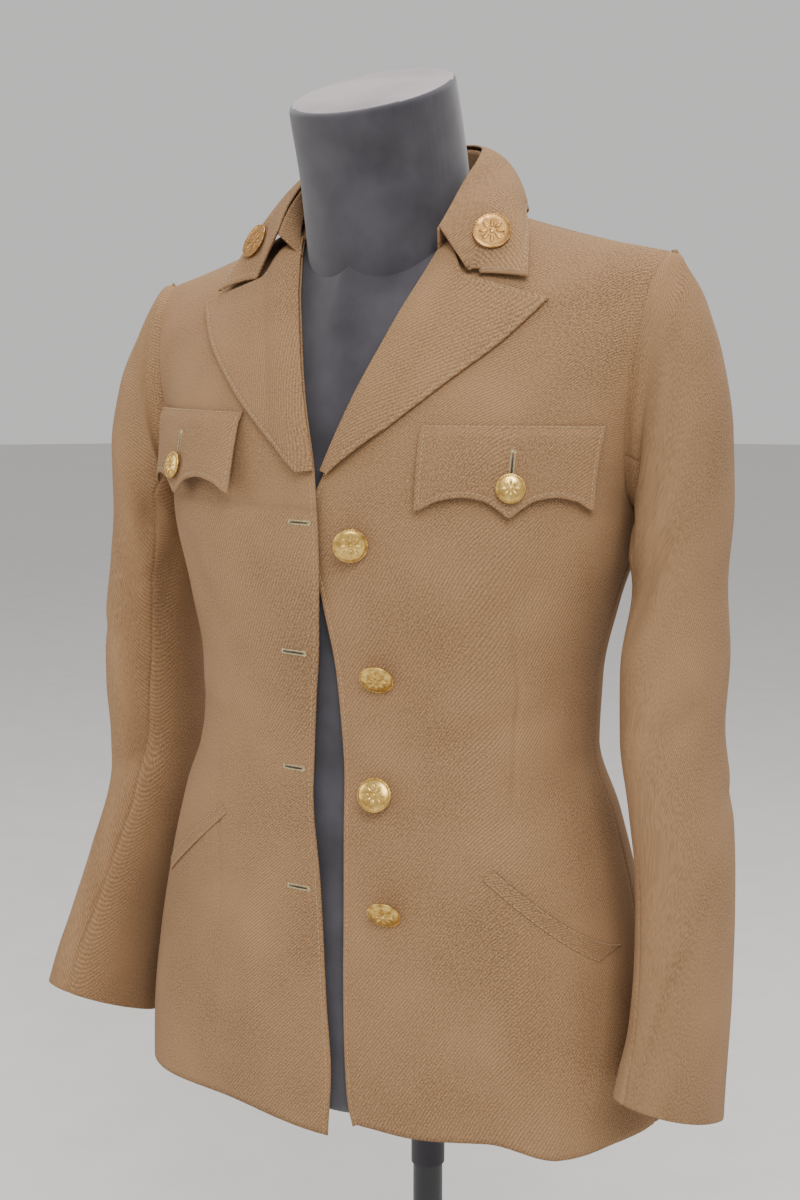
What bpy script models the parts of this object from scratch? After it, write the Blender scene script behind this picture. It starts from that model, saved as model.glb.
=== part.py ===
"""Women's military service tunic, worn open on a plain limbless dress form with a pole stand.

The cloth is cut and sewn as the real one is: two fronts, two backs, two-piece sleeves, a
collar, turned-back lapels, flaps and pocket welts. Every cloth piece is a grid laid on one body
surface, worked out from the section tables below, and given its wall by Solidify. Units are
metres. The front faces -Y and the wearer's left is +X.
"""

import math
from collections import namedtuple

import bmesh
import bpy
from mathutils import Quaternion, Vector

# Walls and gaps
CLOTH = 0.002  # wall of one wool panel
DOUBLE_CLOTH = 0.0024  # flaps, lapels and collar, which are two layers

# Places along the height
CHEST_Z = 0.765  # underarm level, where the chest starts to close over the shoulders
NECK_HALF = 0.062  # half the width of the neck opening at the shoulder seams
SHOULDER_HALF = 0.199
SHOULDER_NECK_Z = 0.969
TIP_Z = {1: 0.935, -1: 0.918}  # the right shoulder hangs a little lower
BACK_NECK_Y = 0.030
BACK_NECK_Z = 0.972
FRONT_NECK_Y = -0.070
FRONT_NECK_Z = 0.948
SHOULDER_Y = -0.012
SHOULDER_ENDS = {"front": 1.990, "back": 1.9950}  # where the panels stop short of the seam

# Angles round the body, in degrees from the centre front
SCYE_FRONT = 62.0  # the front panel's column that runs up the armhole to the shoulder tip
SCYE_BACK = 58.0  # the same for the back, counted from the centre back

STAND_BACK = 0.025  # the pole stands this far behind the body's axis

Section = namedtuple("Section", "z half_width front back side round_front round_back")
BODY = (
    Section(0.310, 0.1975, -0.137, 0.100, -0.020, 0.88, 0.90),
    Section(0.380, 0.1965, -0.138, 0.102, -0.020, 0.88, 0.90),
    Section(0.440, 0.1910, -0.136, 0.101, -0.021, 0.88, 0.90),
    Section(0.500, 0.1800, -0.132, 0.096, -0.022, 0.89, 0.90),
    Section(0.554, 0.1660, -0.128, 0.087, -0.022, 0.90, 0.90),
    Section(0.603, 0.1500, -0.123, 0.079, -0.022, 0.92, 0.92),
    Section(0.650, 0.1510, -0.124, 0.081, -0.020, 0.92, 0.90),
    Section(0.700, 0.1610, -0.127, 0.087, -0.018, 0.90, 0.88),
    Section(CHEST_Z, 0.1770, -0.128, 0.096, -0.014, 0.88, 0.86),
)

# The hem, by the angle round the body from the centre front: its height and its outward wave
Hem = namedtuple("Hem", "around z flare")
HEM = (
    Hem(-180, 0.336, 0.003),
    Hem(-145, 0.335, -0.001),
    Hem(-110, 0.336, 0.004),
    Hem(-75, 0.340, 0.001),
    Hem(-45, 0.344, 0.005),
    Hem(-20, 0.347, 0.000),
    Hem(4.5, 0.341, 0.002),
    Hem(8, 0.352, 0.000),
    Hem(20, 0.350, 0.001),
    Hem(36, 0.351, -0.001),
    Hem(53, 0.341, 0.004),
    Hem(75, 0.343, -0.001),
    Hem(110, 0.338, 0.004),
    Hem(145, 0.336, -0.001),
    Hem(180, 0.336, 0.003),
)
FLARE_TOP = 0.48  # the hem's waves die out at this height

# The fronts' inner edges: below the break the free edge, above it the roll line of the lapel.
# lift is how far the cloth stands out there, because the right front laps over the left.
Edge = namedtuple("Edge", "z x lift")
FRONT_EDGE = {
    1: (
        Edge(0.330, 0.034, 0.0),
        Edge(0.371, 0.0275, 0.0),
        Edge(0.458, 0.0227, 0.0),
        Edge(0.520, 0.0207, 0.0),
        Edge(0.607, 0.0164, 0.0),
        Edge(0.666, 0.011, 0.0),
        Edge(0.705, 0.003, 0.0),
        Edge(0.746, -0.005, 0.0),
        Edge(0.772, -0.004, 0.0),
        Edge(0.790, 0.004, 0.0),
        Edge(0.840, 0.025, 0.0),
        Edge(0.885, 0.043, 0.0),
        Edge(0.930, 0.057, 0.0),
        Edge(0.969, NECK_HALF, 0.0),
    ),
    -1: (
        Edge(0.330, 0.013, 0.001),
        Edge(0.384, 0.016, 0.001),
        Edge(0.435, 0.011, 0.001),
        Edge(0.517, 0.003, 0.001),
        Edge(0.589, -0.006, 0.001),
        Edge(0.640, -0.003, 0.002),
        Edge(0.680, 0.002, 0.004),
        Edge(0.735, 0.004, 0.0045),
        Edge(0.790, 0.001, 0.0045),
        Edge(0.833, -0.011, 0.001),
        Edge(0.885, -0.027, 0.0),
        Edge(0.915, -0.040, 0.0),
        Edge(0.969, -NECK_HALF, 0.0),
    ),
}
LAP_WIDTH = 0.060  # the lap's extra lift fades out over this width

# The armhole: the angles of its front and back edges along the height
Scye = namedtuple("Scye", "up front back")
SIDE_SEAM = 95.0
SCYE = (
    Scye(1.00, SIDE_SEAM, SIDE_SEAM),
    Scye(1.02, 89.0, 101.0),
    Scye(1.06, 85.0, 105.5),
    Scye(1.12, 81.5, 109.0),
    Scye(1.28, 74.0, 114.0),
    Scye(1.47, 68.0, 118.0),
    Scye(1.73, 63.0, 121.0),
    Scye(2.00, SCYE_FRONT, 180.0 - SCYE_BACK),
)

# Rows of a panel's grid, from the hem up to the shoulder, closer where the armhole turns
PANEL_ROWS = (
    (0.0, 0.08, 0.17, 0.26, 0.35, 0.43, 0.51, 0.59, 0.67, 0.75, 0.83, 0.92, 1.0)
    + (1.025, 1.065, 1.12, 1.20, 1.30, 1.41, 1.53, 1.65, 1.76, 1.86, 1.94, 2.0)
)
FRONT_COLUMNS = 17
BACK_COLUMNS = 12
SEAM_TURN = 0.16  # half a seam's gap round the body, in degrees

# Lapels: the outer edge from the break up to the tip, and the corner where the gorge ends
Outline = namedtuple("Outline", "share x z")
LAPEL_EDGE = (
    Outline(0.00, 0.010, 0.792),
    Outline(0.25, 0.050, 0.822),
    Outline(0.50, 0.085, 0.851),
    Outline(0.75, 0.114, 0.8765),
    Outline(1.00, 0.136, 0.9035),
)
LAPEL_FOOT_Z = 0.7935
LAPEL_HEAD_Z = 0.947
GORGE_SHARE = 0.30
GORGE_CORNER = (0.0795, 0.9195)
LAPEL_LIFT = 0.0038
ROLL_BULGE = 0.0035
ROLL_WIDTH = 0.030
ROLL_OVERLAP = 0.0015

# Collar: stations from the centre back (0) to the gorge (1). The fold is the top of the turn,
# over the stand, and the edge is the leaf's outer edge, given in plan on the body's surface.
Station = namedtuple("Station", "t fold_x fold_y fold_z edge_x edge_y foot_z")
COLLAR = (
    Station(0.00, 0.0000, 0.0290, 1.0120, 0.0000, 0.0480, 0.9740),
    Station(0.25, 0.0340, 0.0180, 1.0105, 0.0500, 0.0340, 0.9735),
    Station(0.45, 0.0580, -0.0080, 1.0040, 0.0830, 0.0060, 0.9725),
    Station(0.60, 0.0640, -0.0320, 0.9910, 0.0950, -0.0180, 0.9700),
    Station(0.80, 0.0645, -0.0570, 0.9710, 0.1100, -0.0400, 0.9600),
    Station(1.00, 0.0620, -0.0760, 0.9510, 0.1205, -0.0600, 0.9450),
)
COLLAR_LIFT = 0.0044
COLLAR_DIP = Vector((-0.0020, 0.0, -0.0200))  # how far the gorge pulls the leaf's front end down
STAND_REACH = 0.80
STAND_DROP = 0.0032  # the stand's top under the fold

# Breast flaps: turns and heights of the corners, and the rise of the scalloped edge
Flap = namedtuple("Flap", "side name turn_in turn_out top bottom lift_top lift_bottom")
FLAPS = (
    Flap(1, "breast_flap_left", 20.9, 68.0, 0.8245, 0.7665, 0.0042, 0.0070),
    Flap(-1, "breast_flap_right", 18.8, 66.0, 0.8300, 0.7720, 0.0042, 0.0120),
)
Scallop = namedtuple("Scallop", "reach rise")
SCALLOP = (
    Scallop(0.00, 0.0000),
    Scallop(0.12, 0.0050),
    Scallop(0.28, 0.0105),
    Scallop(0.50, 0.0125),
    Scallop(0.75, 0.0100),
    Scallop(1.00, 0.0035),
)
FLAP_EASE = 0.10  # the panel turns faster towards the side

# Hip pockets: each welt runs from its inner end down to its outer end
Welt = namedtuple("Welt", "side name x_in z_in x_out z_out")
WELTS = (
    Welt(1, "hip_welt_left", 0.120, 0.535, 0.184, 0.476),
    Welt(-1, "hip_welt_right", 0.088, 0.556, 0.160, 0.497),
)
WELT_WIDTH = 0.009
WELT_LIFT = 0.0037
WELT_WALL = 0.0018

# Sleeves: rings from the armhole to the cuff. out_x and out_z go from the centre to the side
# that is on top at the shoulder and faces out below it. tip is the rise of the ring's front.
Ring = namedtuple("Ring", "along x y z out_x out_z half_depth tip")
SLEEVE = {
    1: (
        Ring(0.000, 0.1870, 0.008, 0.850, 0.0120, 0.085, 0.0540, 0.0),
        Ring(0.015, 0.1970, 0.000, 0.846, 0.0110, 0.082, 0.0480, 0.0),
        Ring(0.045, 0.2010, -0.007, 0.834, 0.0145, 0.075, 0.0450, 0.0),
        Ring(0.080, 0.2050, -0.009, 0.812, 0.0235, 0.061, 0.0470, 0.0),
        Ring(0.115, 0.2085, -0.009, 0.785, 0.0280, 0.041, 0.0520, 0.0),
        Ring(0.155, 0.2090, -0.009, 0.752, 0.0290, 0.021, 0.0550, 0.0),
        Ring(0.200, 0.2085, -0.012, 0.714, 0.0275, 0.007, 0.0530, 0.0),
        Ring(0.250, 0.2095, -0.016, 0.665, 0.0300, 0.000, 0.0590, 0.0),
        Ring(0.300, 0.2110, -0.018, 0.620, 0.0300, 0.000, 0.0590, 0.0),
        Ring(0.345, 0.2180, -0.022, 0.575, 0.0280, 0.000, 0.0570, 0.0),
        Ring(0.390, 0.2250, -0.029, 0.530, 0.0270, 0.000, 0.0540, 0.002),
        Ring(0.440, 0.2290, -0.038, 0.481, 0.0270, 0.000, 0.0530, 0.003),
        Ring(0.490, 0.2305, -0.048, 0.436, 0.0275, 0.000, 0.0560, 0.004),
        Ring(0.535, 0.2300, -0.057, 0.401, 0.0290, -0.003, 0.0580, 0.013),
        Ring(0.570, 0.2295, -0.061, 0.379, 0.0300, -0.005, 0.0590, 0.020),
    ),
    -1: (
        Ring(0.000, 0.1850, 0.008, 0.842, 0.0130, 0.077, 0.0540, 0.0),
        Ring(0.015, 0.1950, 0.000, 0.838, 0.0110, 0.078, 0.0490, 0.0),
        Ring(0.045, 0.2020, -0.006, 0.824, 0.0180, 0.070, 0.0475, 0.0),
        Ring(0.080, 0.2110, -0.006, 0.802, 0.0270, 0.055, 0.0510, 0.0),
        Ring(0.115, 0.2145, -0.006, 0.777, 0.0305, 0.036, 0.0545, 0.0),
        Ring(0.155, 0.2145, -0.006, 0.747, 0.0300, 0.018, 0.0535, 0.0),
        Ring(0.200, 0.2200, -0.006, 0.710, 0.0285, 0.006, 0.0530, 0.0),
        Ring(0.250, 0.2250, -0.008, 0.665, 0.0270, 0.000, 0.0540, 0.0),
        Ring(0.300, 0.2240, -0.010, 0.620, 0.0270, 0.000, 0.0540, 0.0),
        Ring(0.345, 0.2210, -0.012, 0.572, 0.0265, 0.000, 0.0520, 0.004),
        Ring(0.390, 0.2200, -0.018, 0.527, 0.0260, 0.000, 0.0520, 0.012),
        Ring(0.440, 0.2225, -0.038, 0.477, 0.0250, 0.000, 0.0520, 0.019),
        Ring(0.490, 0.2260, -0.056, 0.433, 0.0255, 0.000, 0.0525, 0.022),
        Ring(0.535, 0.2290, -0.069, 0.400, 0.0265, 0.003, 0.0540, 0.023),
        Ring(0.570, 0.2310, -0.077, 0.375, 0.0270, 0.006, 0.0550, 0.023),
    ),
}
SLEEVE_ROWS = (
    (0.0, 0.008, 0.02, 0.035, 0.053, 0.073, 0.095, 0.12, 0.15, 0.18, 0.205, 0.23)
    + (0.26, 0.29, 0.32, 0.35, 0.38, 0.42, 0.46, 0.50, 0.54, 0.57)
)
ARMHOLE_FADE = 0.05  # the ring keeps the armhole's own shape down to here
ARMHOLE_CLEAR = 0.0009  # sideways from the shoulder tip
UNDERARM_CLEAR = 0.0024  # more than that at the underarm, outside the side seam
UPPER_COLUMNS = 13
UNDER_COLUMNS = 7
SLEEVE_SEAM = 0.0017  # half a seam's gap between the outer edges

# The sleeve's two seams: their shares of the way round, along the sleeve
Seam = namedtuple("Seam", "along front back")
SLEEVE_SEAMS = (
    Seam(0.00, 0.370, 0.675),
    Seam(0.12, 0.350, 0.680),
    Seam(0.20, 0.375, 0.685),
    Seam(0.26, 0.395, 0.690),
    Seam(0.32, 0.380, 0.690),
    Seam(0.38, 0.335, 0.695),
    Seam(0.45, 0.325, 0.700),
    Seam(0.57, 0.300, 0.700),
)

# Sleeve folds: share of the way round, place along, half sizes and depth of each hollow
Fold = namedtuple("Fold", "around along wide long depth")
FOLDS = {
    1: (
        Fold(0.34, 0.185, 0.09, 0.030, 0.006),
        Fold(0.20, 0.215, 0.10, 0.022, 0.003),
        Fold(0.86, 0.300, 0.10, 0.030, 0.004),
    ),
    -1: (
        Fold(0.33, 0.130, 0.05, 0.045, 0.009),
        Fold(0.43, 0.200, 0.05, 0.050, 0.007),
        Fold(0.34, 0.350, 0.07, 0.020, 0.007),
        Fold(0.22, 0.375, 0.08, 0.018, 0.004),
        Fold(0.86, 0.300, 0.10, 0.030, 0.004),
    ),
}

# Buttons: place on the front, and how far each hangs down and turns to the wearer's left
Button = namedtuple("Button", "name x z droop turn")
FRONT_BUTTONS = (
    Button("front_button_1", 0.026, 0.748, 12, 30),
    Button("front_button_2", 0.044, 0.663, 30, 8),
    Button("front_button_3", 0.043, 0.579, -8, 6),
    Button("front_button_4", 0.054, 0.507, 38, 5),
)
BUTTON_RADIUS = 0.0115
BUTTON_SHANK = 0.0070
FLAP_BUTTON_RADIUS = 0.0095
FLAP_BUTTON_SHANK = 0.0020
DISK_RADIUS = 0.0127
DISK_SHANK = 0.0006
DISK_SEAT = 0.0014  # keeps the flat disk off the curved leaf
DISK_PLACE = (0.86, 0.52)  # station and share of the leaf's width

# Dress form: its surface lies this far inside the cloth's
FORM_INSET = 0.0046
FORM_BOTTOM_Z = 0.358
FORM_COLUMNS = 20
FORM_ROWS = (
    (0.03, 0.15, 0.27, 0.39, 0.49, 0.57, 0.64, 0.71, 0.80, 0.90, 1.0)
    + (1.08, 1.18, 1.30, 1.42, 1.54, 1.66, 1.77, 1.86, 1.93)
)
NECK_SECTIONS = ((-0.024, 0.900, 0.0575), (-0.038, 0.985, 0.0580), (-0.0545, 1.0427, 0.0570))
NECK_TILT = 22.0  # the cap leans forward, in degrees
NECK_SEGMENTS = 28

# Stand
POLE_RADIUS = 0.0113
SOCKET_RADIUS = 0.0128
SOCKET_BOTTOM_Z = 0.252
BASE_RADIUS = 0.165
BASE_THICKNESS = 0.012
ROUND_SEGMENTS = 32


def hermite(rows, at):
    """Reads a table at a value of its first column, on a smooth curve through its rows."""
    rows = list(rows)
    if at <= rows[0][0]:
        return rows[0]
    if at >= rows[-1][0]:
        return rows[-1]
    last = len(rows) - 1
    low = max(i for i in range(last) if rows[i][0] <= at)
    high = low + 1
    span = rows[high][0] - rows[low][0]
    t = (at - rows[low][0]) / span
    values = [at]
    for column in range(1, len(rows[0])):
        slopes = []
        for i in (low, high):
            if i in (0, last):
                slopes.append(0.0)
                continue
            before = (rows[i][column] - rows[i - 1][column]) / (rows[i][0] - rows[i - 1][0])
            after = (rows[i + 1][column] - rows[i][column]) / (rows[i + 1][0] - rows[i][0])
            if before * after <= 0:
                slopes.append(0.0)
            else:
                slopes.append(2 * before * after / (before + after))
        a, b = rows[low][column], rows[high][column]
        values.append(
            (2 * t**3 - 3 * t**2 + 1) * a
            + (t**3 - 2 * t**2 + t) * span * slopes[0]
            + (3 * t**2 - 2 * t**3) * b
            + (t**3 - t**2) * span * slopes[1]
        )
    return type(rows[0])(*values)


def smooth(t):
    t = min(max(t, 0.0), 1.0)
    return t * t * (3 - 2 * t)


def blend(a, b, t):
    return a + (b - a) * t


def power(value, exponent):
    return math.copysign(abs(value) ** exponent, value)


def side_of(around):
    return 1 if around >= 0 else -1


def section_point(around, z):
    """A point on the horizontal section at this height."""
    row = hermite(BODY, z)
    turn = math.radians(around)
    front = math.cos(turn) >= 0
    exponent = row.round_front if front else row.round_back
    depth = row.side - row.front if front else row.back - row.side
    x = row.half_width * power(math.sin(turn), exponent)
    y = row.side - depth * power(math.cos(turn), exponent)
    return Vector((x, y, z))


def top_point(x, side, front):
    """The shoulder seam, or the neck's edge nearer the middle than the seam."""
    reach = abs(x)
    if reach >= NECK_HALF:
        t = (reach - NECK_HALF) / (SHOULDER_HALF - NECK_HALF)
        sag = 0.003 * math.sin(math.pi * min(t, 1.0))
        return Vector((x, SHOULDER_Y, blend(SHOULDER_NECK_Z, TIP_Z[side], t) - sag))
    inner = 1 - reach / NECK_HALF
    t = inner**1.5 if front else math.sqrt(1 - (1 - inner) ** 2)
    end_y = FRONT_NECK_Y if front else BACK_NECK_Y
    end_z = FRONT_NECK_Z if front else BACK_NECK_Z
    return Vector((x, blend(SHOULDER_Y, end_y, t), blend(SHOULDER_NECK_Z, end_z, t)))


def body_point(around, up):
    """The cloth's outer surface. around runs from 0 at the centre front to 180 at the centre
    back, negative on the wearer's right. up is 0 at the hem, 1 at the underarm and 2 on the
    shoulder seam."""
    if abs(around) > 180:
        around -= math.copysign(360, around)
    side = side_of(around)
    if up <= 1:
        hem = hermite(HEM, around)
        z = blend(hem.z, CHEST_Z, up)
        point = section_point(around, z)
        fade = 1 - smooth((z - hem.z) / (FLARE_TOP - hem.z))
        outward = Vector((point.x, point.y - hermite(BODY, z).side, 0)).normalized()
        return point + outward * (hem.flare * fade)
    front = abs(around) <= 90
    chest = section_point(around, CHEST_Z)
    scye = SCYE_FRONT if front else SCYE_BACK
    turn = abs(around) if front else 180 - abs(around)
    share = turn / scye
    reach = SHOULDER_HALF * min(share**0.92, 1.35)
    top = top_point(side * reach, side, front)
    phi = (up - 1) * math.pi / 2
    x = blend(chest.x, top.x, smooth(up - 1) ** 0.9)
    z = blend(CHEST_Z, top.z, math.sin(phi))
    fall = math.cos(phi) ** (1.30 if front else 0.95)
    y = blend(top.y, chest.y, fall)
    return Vector((x, y, z))


def outward_at(around, up):
    """The surface's outward unit normal."""
    step = 0.01
    low, high = max(up - step, 0.0), min(up + step, 1.995)
    across = body_point(around + 0.5, up) - body_point(around - 0.5, up)
    along = body_point(around, high) - body_point(around, low)
    return across.cross(along).normalized()


def lifted(around, up, lift):
    return body_point(around, up) + outward_at(around, up) * lift


def surface_at(x, z, side):
    """The angle and the height share of the front's surface point at this x and z."""
    around, up = 40.0 * side, min(max((z - 0.34) / (CHEST_Z - 0.34), 0.05), 1.3)
    for _ in range(24):
        here = body_point(around, up)
        error_x, error_z = x - here.x, z - here.z
        if abs(error_x) + abs(error_z) < 1e-7:
            break
        turned = body_point(around + 0.2, up)
        raised = body_point(around, up + 0.004)
        xa, za = (turned.x - here.x) / 0.2, (turned.z - here.z) / 0.2
        xu, zu = (raised.x - here.x) / 0.004, (raised.z - here.z) / 0.004
        size = xa * zu - xu * za
        step_a = (error_x * zu - xu * error_z) / size
        step_u = (xa * error_z - za * error_x) / size
        around += min(max(step_a, -20.0), 20.0)
        up = min(max(up + min(max(step_u, -0.3), 0.3), 0.0), 1.99)
    return around, up


def on_front(x, z, side, lift):
    around, up = surface_at(x, z, side)
    return lifted(around, up, lift)


def cape_point(x, y, side, lift):
    """The point over this place in plan, on the shoulders, upper back or upper chest."""
    front = y < SHOULDER_Y
    around = side * (25.0 if front else 155.0)
    if abs(x) < 1e-6:
        around = side * 180.0
    up = 1.85
    for _ in range(30):
        here = body_point(around, up)
        error_x, error_y = x - here.x, y - here.y
        if abs(error_x) + abs(error_y) < 1e-7:
            break
        turned = body_point(around - side * 0.2, up)
        raised = body_point(around, up - 0.004)
        xa, ya = (turned.x - here.x) / (-side * 0.2), (turned.y - here.y) / (-side * 0.2)
        xu, yu = (raised.x - here.x) / -0.004, (raised.y - here.y) / -0.004
        size = xa * yu - xu * ya
        if abs(size) < 1e-12:
            break
        around += min(max((error_x * yu - xu * error_y) / size, -15.0), 15.0)
        up += min(max((xa * error_y - ya * error_x) / size, -0.1), 0.1)
        up = min(max(up, 1.3), 1.995)
        if front:
            around = side * min(max(side * around, 0.5), 80.0)
        else:
            around = side * min(max(side * around, 100.0), 180.0)
    return lifted(around, up, lift)


def edge_turn(side, up):
    """The angle where this front's inner edge or roll line lies at this height share."""
    low, high = -25.0, SCYE_FRONT
    for _ in range(30):
        middle = (low + high) / 2
        point = body_point(side * middle, up)
        if side * point.x < side * hermite(FRONT_EDGE[side], point.z).x:
            low = middle
        else:
            high = middle
    return low


def panel_up(b):
    return PANEL_ROWS[round(b * (len(PANEL_ROWS) - 1))]


def front_place(side):
    """Lays a front panel, from its inner edge to the side seam and the armhole."""

    def place(a, b):
        a = a if side > 0 else 1 - a
        up = min(panel_up(b), SHOULDER_ENDS["front"])
        inner = edge_turn(side, up)
        outer = hermite(SCYE, max(up, 1.0)).front - SEAM_TURN
        turn = blend(inner, outer, a)
        point = body_point(side * turn, up)
        edge = hermite(FRONT_EDGE[side], point.z)
        fade = 1 - smooth(abs(point.x - edge.x) / LAP_WIDTH)
        return lifted(side * turn, up, edge.lift * fade)

    return place


def back_place(side):
    """Lays a back panel, from the side seam and the armhole to the centre back seam."""

    def place(a, b):
        a = a if side > 0 else 1 - a
        up = min(panel_up(b), SHOULDER_ENDS["back"])
        outer = hermite(SCYE, max(up, 1.0)).back + SEAM_TURN
        turn = blend(outer, 180.0 - SEAM_TURN, a)
        return body_point(side * turn, up)

    return place


def scye_point(side, share):
    """The armhole's edge, from the shoulder tip (0) down the front, to the underarm (0.5) and
    up the back."""
    up = min(1 + (1 + math.cos(2 * math.pi * share)) / 2, 1.999)
    row = hermite(SCYE, up)
    turn = row.front if share % 1.0 < 0.5 else row.back
    return body_point(side * turn, up)


def ring_point(side, share, along):
    row = hermite(SLEEVE[side], along)
    angle = 2 * math.pi * share
    out = power(math.cos(angle), 0.95)
    fore = power(math.sin(angle), 0.90)
    centre = Vector((side * row.x, row.y, row.z))
    return centre + Vector(
        (side * row.out_x * out, -row.half_depth * fore, row.out_z * out + row.tip * fore)
    )


def sleeve_point(side, share, along):
    """The sleeve's outer surface: the armhole's shape at the top, and ovals below it."""
    point = ring_point(side, share, along)
    low = ((1 - math.cos(2 * math.pi * share)) / 2) ** 3
    clear = Vector((side * (ARMHOLE_CLEAR + UNDERARM_CLEAR * low), 0, 0))
    armhole = scye_point(side, share) + clear
    keep = 1 - smooth(along / ARMHOLE_FADE)
    point += (armhole - ring_point(side, share, 0.0)) * keep
    centre = hermite(SLEEVE[side], along)
    inward = Vector((side * centre.x, centre.y, centre.z)) - point
    inward.normalize()
    for fold in FOLDS[side]:
        gap = abs(share % 1.0 - fold.around)
        gap = min(gap, 1 - gap)
        fall = math.exp(-((gap / fold.wide) ** 2) - ((along - fold.along) / fold.long) ** 2)
        point += inward * (fold.depth * fall * (1 - keep))
    return point


def round_speed(side, share, along):
    """Metres round the sleeve for a whole turn of share, at this place."""
    step = 0.01
    before = sleeve_point(side, share - step, along)
    return (sleeve_point(side, share + step, along) - before).length / (2 * step)


def sleeve_place(side, upper):
    def place(a, b):
        a = a if side > 0 else 1 - a
        along = SLEEVE_ROWS[round(b * (len(SLEEVE_ROWS) - 1))]
        seam = hermite(SLEEVE_SEAMS, along)
        front_gap = SLEEVE_SEAM / round_speed(side, seam.front, along)
        back_gap = SLEEVE_SEAM / round_speed(side, seam.back, along)
        if upper:
            share = blend(seam.back - 1 + back_gap, seam.front - front_gap, a)
        else:
            share = blend(seam.front + front_gap, seam.back - back_gap, a)
        return sleeve_point(side, share, along)

    return place


def peak(t, top):
    """0 at both ends of 0 to 1, and 1 at top, by straight lines."""
    return t / top if t < top else (1 - t) / (1 - top)


def lapel_place(side):
    """Lays a lapel, from the roll line out to its edge and from the break up to the gorge."""
    corner_x, corner_z = GORGE_CORNER

    def place(a, b):
        a = a if side > 0 else 1 - a
        roll_z = blend(LAPEL_FOOT_Z, LAPEL_HEAD_Z, b)
        roll_x = hermite(FRONT_EDGE[side], roll_z).x - side * ROLL_OVERLAP
        outline = hermite(LAPEL_EDGE, b)
        x = blend(roll_x, side * outline.x, a)
        z = blend(roll_z, outline.z, a)
        if b > 0:
            head_x = hermite(FRONT_EDGE[side], LAPEL_HEAD_Z).x
            tip = LAPEL_EDGE[-1]
            dip_x = side * corner_x - blend(head_x, side * tip.x, GORGE_SHARE)
            dip_z = corner_z - blend(LAPEL_HEAD_Z, tip.z, GORGE_SHARE)
            pull = peak(a, GORGE_SHARE) * b**4
            x += dip_x * pull
            z += dip_z * pull
        width = math.hypot(x - roll_x, z - roll_z)
        lift = LAPEL_LIFT + ROLL_BULGE * math.sin(math.pi * min(width / ROLL_WIDTH, 1.0))
        lift += hermite(FRONT_EDGE[side], z).lift
        return on_front(x, z, side, lift)

    return place


def leaf_point(t, b):
    """The collar's leaf, from the fold (b 0) to its outer edge (b 1)."""
    side = 1 if t >= 0 else -1
    row = hermite(COLLAR, abs(t))
    fold = Vector((side * row.fold_x, row.fold_y, row.fold_z))
    edge = cape_point(side * row.edge_x, row.edge_y, side, COLLAR_LIFT)
    forward = smooth((abs(t) - 0.5) / 0.5)
    turn = fold.lerp(edge, blend(0.80, 0.50, forward))
    turn.z = fold.z - blend(0.002, 0.012, forward)
    point = fold * (1 - b) ** 2 + turn * (2 * b * (1 - b)) + edge * b**2
    end = smooth((abs(t) - 0.78) / 0.22)
    dip = COLLAR_DIP * (peak(b, 0.38) * end)
    return point + Vector((side * dip.x, 0, dip.z))


def leaf_place(a, b):
    """The grid's faces point inwards, so the wall builds outwards from this surface."""
    return raise_off(leaf_point(blend(1.0, -1.0, a), b), COLLAR_LIFT)


def raise_off(point, least):
    """Moves a point that lies too near the front of the body out to the least lift."""
    side = side_of(point.x)
    if point.y > SHOULDER_Y - 0.020 or point.z > 0.965:
        return point
    around, up = surface_at(point.x, point.z, side)
    surface = body_point(around, up)
    if abs(surface.x - point.x) + abs(surface.z - point.z) > 1e-5:
        return point
    wanted = lifted(around, up, least)
    return wanted if point.y > wanted.y else point


def stand_place(a, b):
    t = blend(STAND_REACH, -STAND_REACH, a)
    side = 1 if t >= 0 else -1
    row = hermite(COLLAR, abs(t))
    foot = Vector((side * (row.fold_x - 0.0010), row.fold_y - 0.0006, row.foot_z))
    head = Vector((side * row.fold_x, row.fold_y, row.fold_z - STAND_DROP))
    return foot.lerp(head, 1 - b)


def flap_point(flap, w, h):
    """A flap's outer surface: w from the inner to the outer end, h from the top to the edge."""
    turn = blend(flap.turn_in, flap.turn_out, w * (1 - FLAP_EASE + FLAP_EASE * w))
    rise = hermite(SCALLOP, abs(w - 0.5) * 2).rise
    z = blend(flap.top, flap.bottom + rise, h)
    up = 1 + math.asin(min(max((z - CHEST_Z) / 0.17, 0.0), 0.9)) * 2 / math.pi
    for _ in range(12):
        up += (z - body_point(flap.side * turn, up).z) / 0.26
        up = min(max(up, 0.9), 1.9)
    return lifted(flap.side * turn, up, blend(flap.lift_top, flap.lift_bottom, h))


def flap_place(flap):
    def place(a, b):
        a = a if flap.side > 0 else 1 - a
        return flap_point(flap, a, 1 - b)

    return place


def welt_place(welt):
    side = welt.side
    run = Vector((welt.x_out - welt.x_in, 0, welt.z_out - welt.z_in)).normalized()
    down = Vector((run.z, 0, -run.x))

    def place(a, b):
        a = a if side > 0 else 1 - a
        x = blend(welt.x_in, welt.x_out, a) + down.x * WELT_WIDTH * (1 - b)
        z = blend(welt.z_in, welt.z_out, a) + down.z * WELT_WIDTH * (1 - b)
        return on_front(side * x, z, side, WELT_LIFT)

    return place


def principled(name, colour, roughness, metallic=0.0):
    material = bpy.data.materials.new(name)
    material.use_nodes = True
    shader = material.node_tree.nodes["Principled BSDF"]
    shader.inputs["Base Color"].default_value = (*colour, 1.0)
    shader.inputs["Roughness"].default_value = roughness
    shader.inputs["Metallic"].default_value = metallic
    material.diffuse_color = (*colour, 1.0)
    return material


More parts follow.
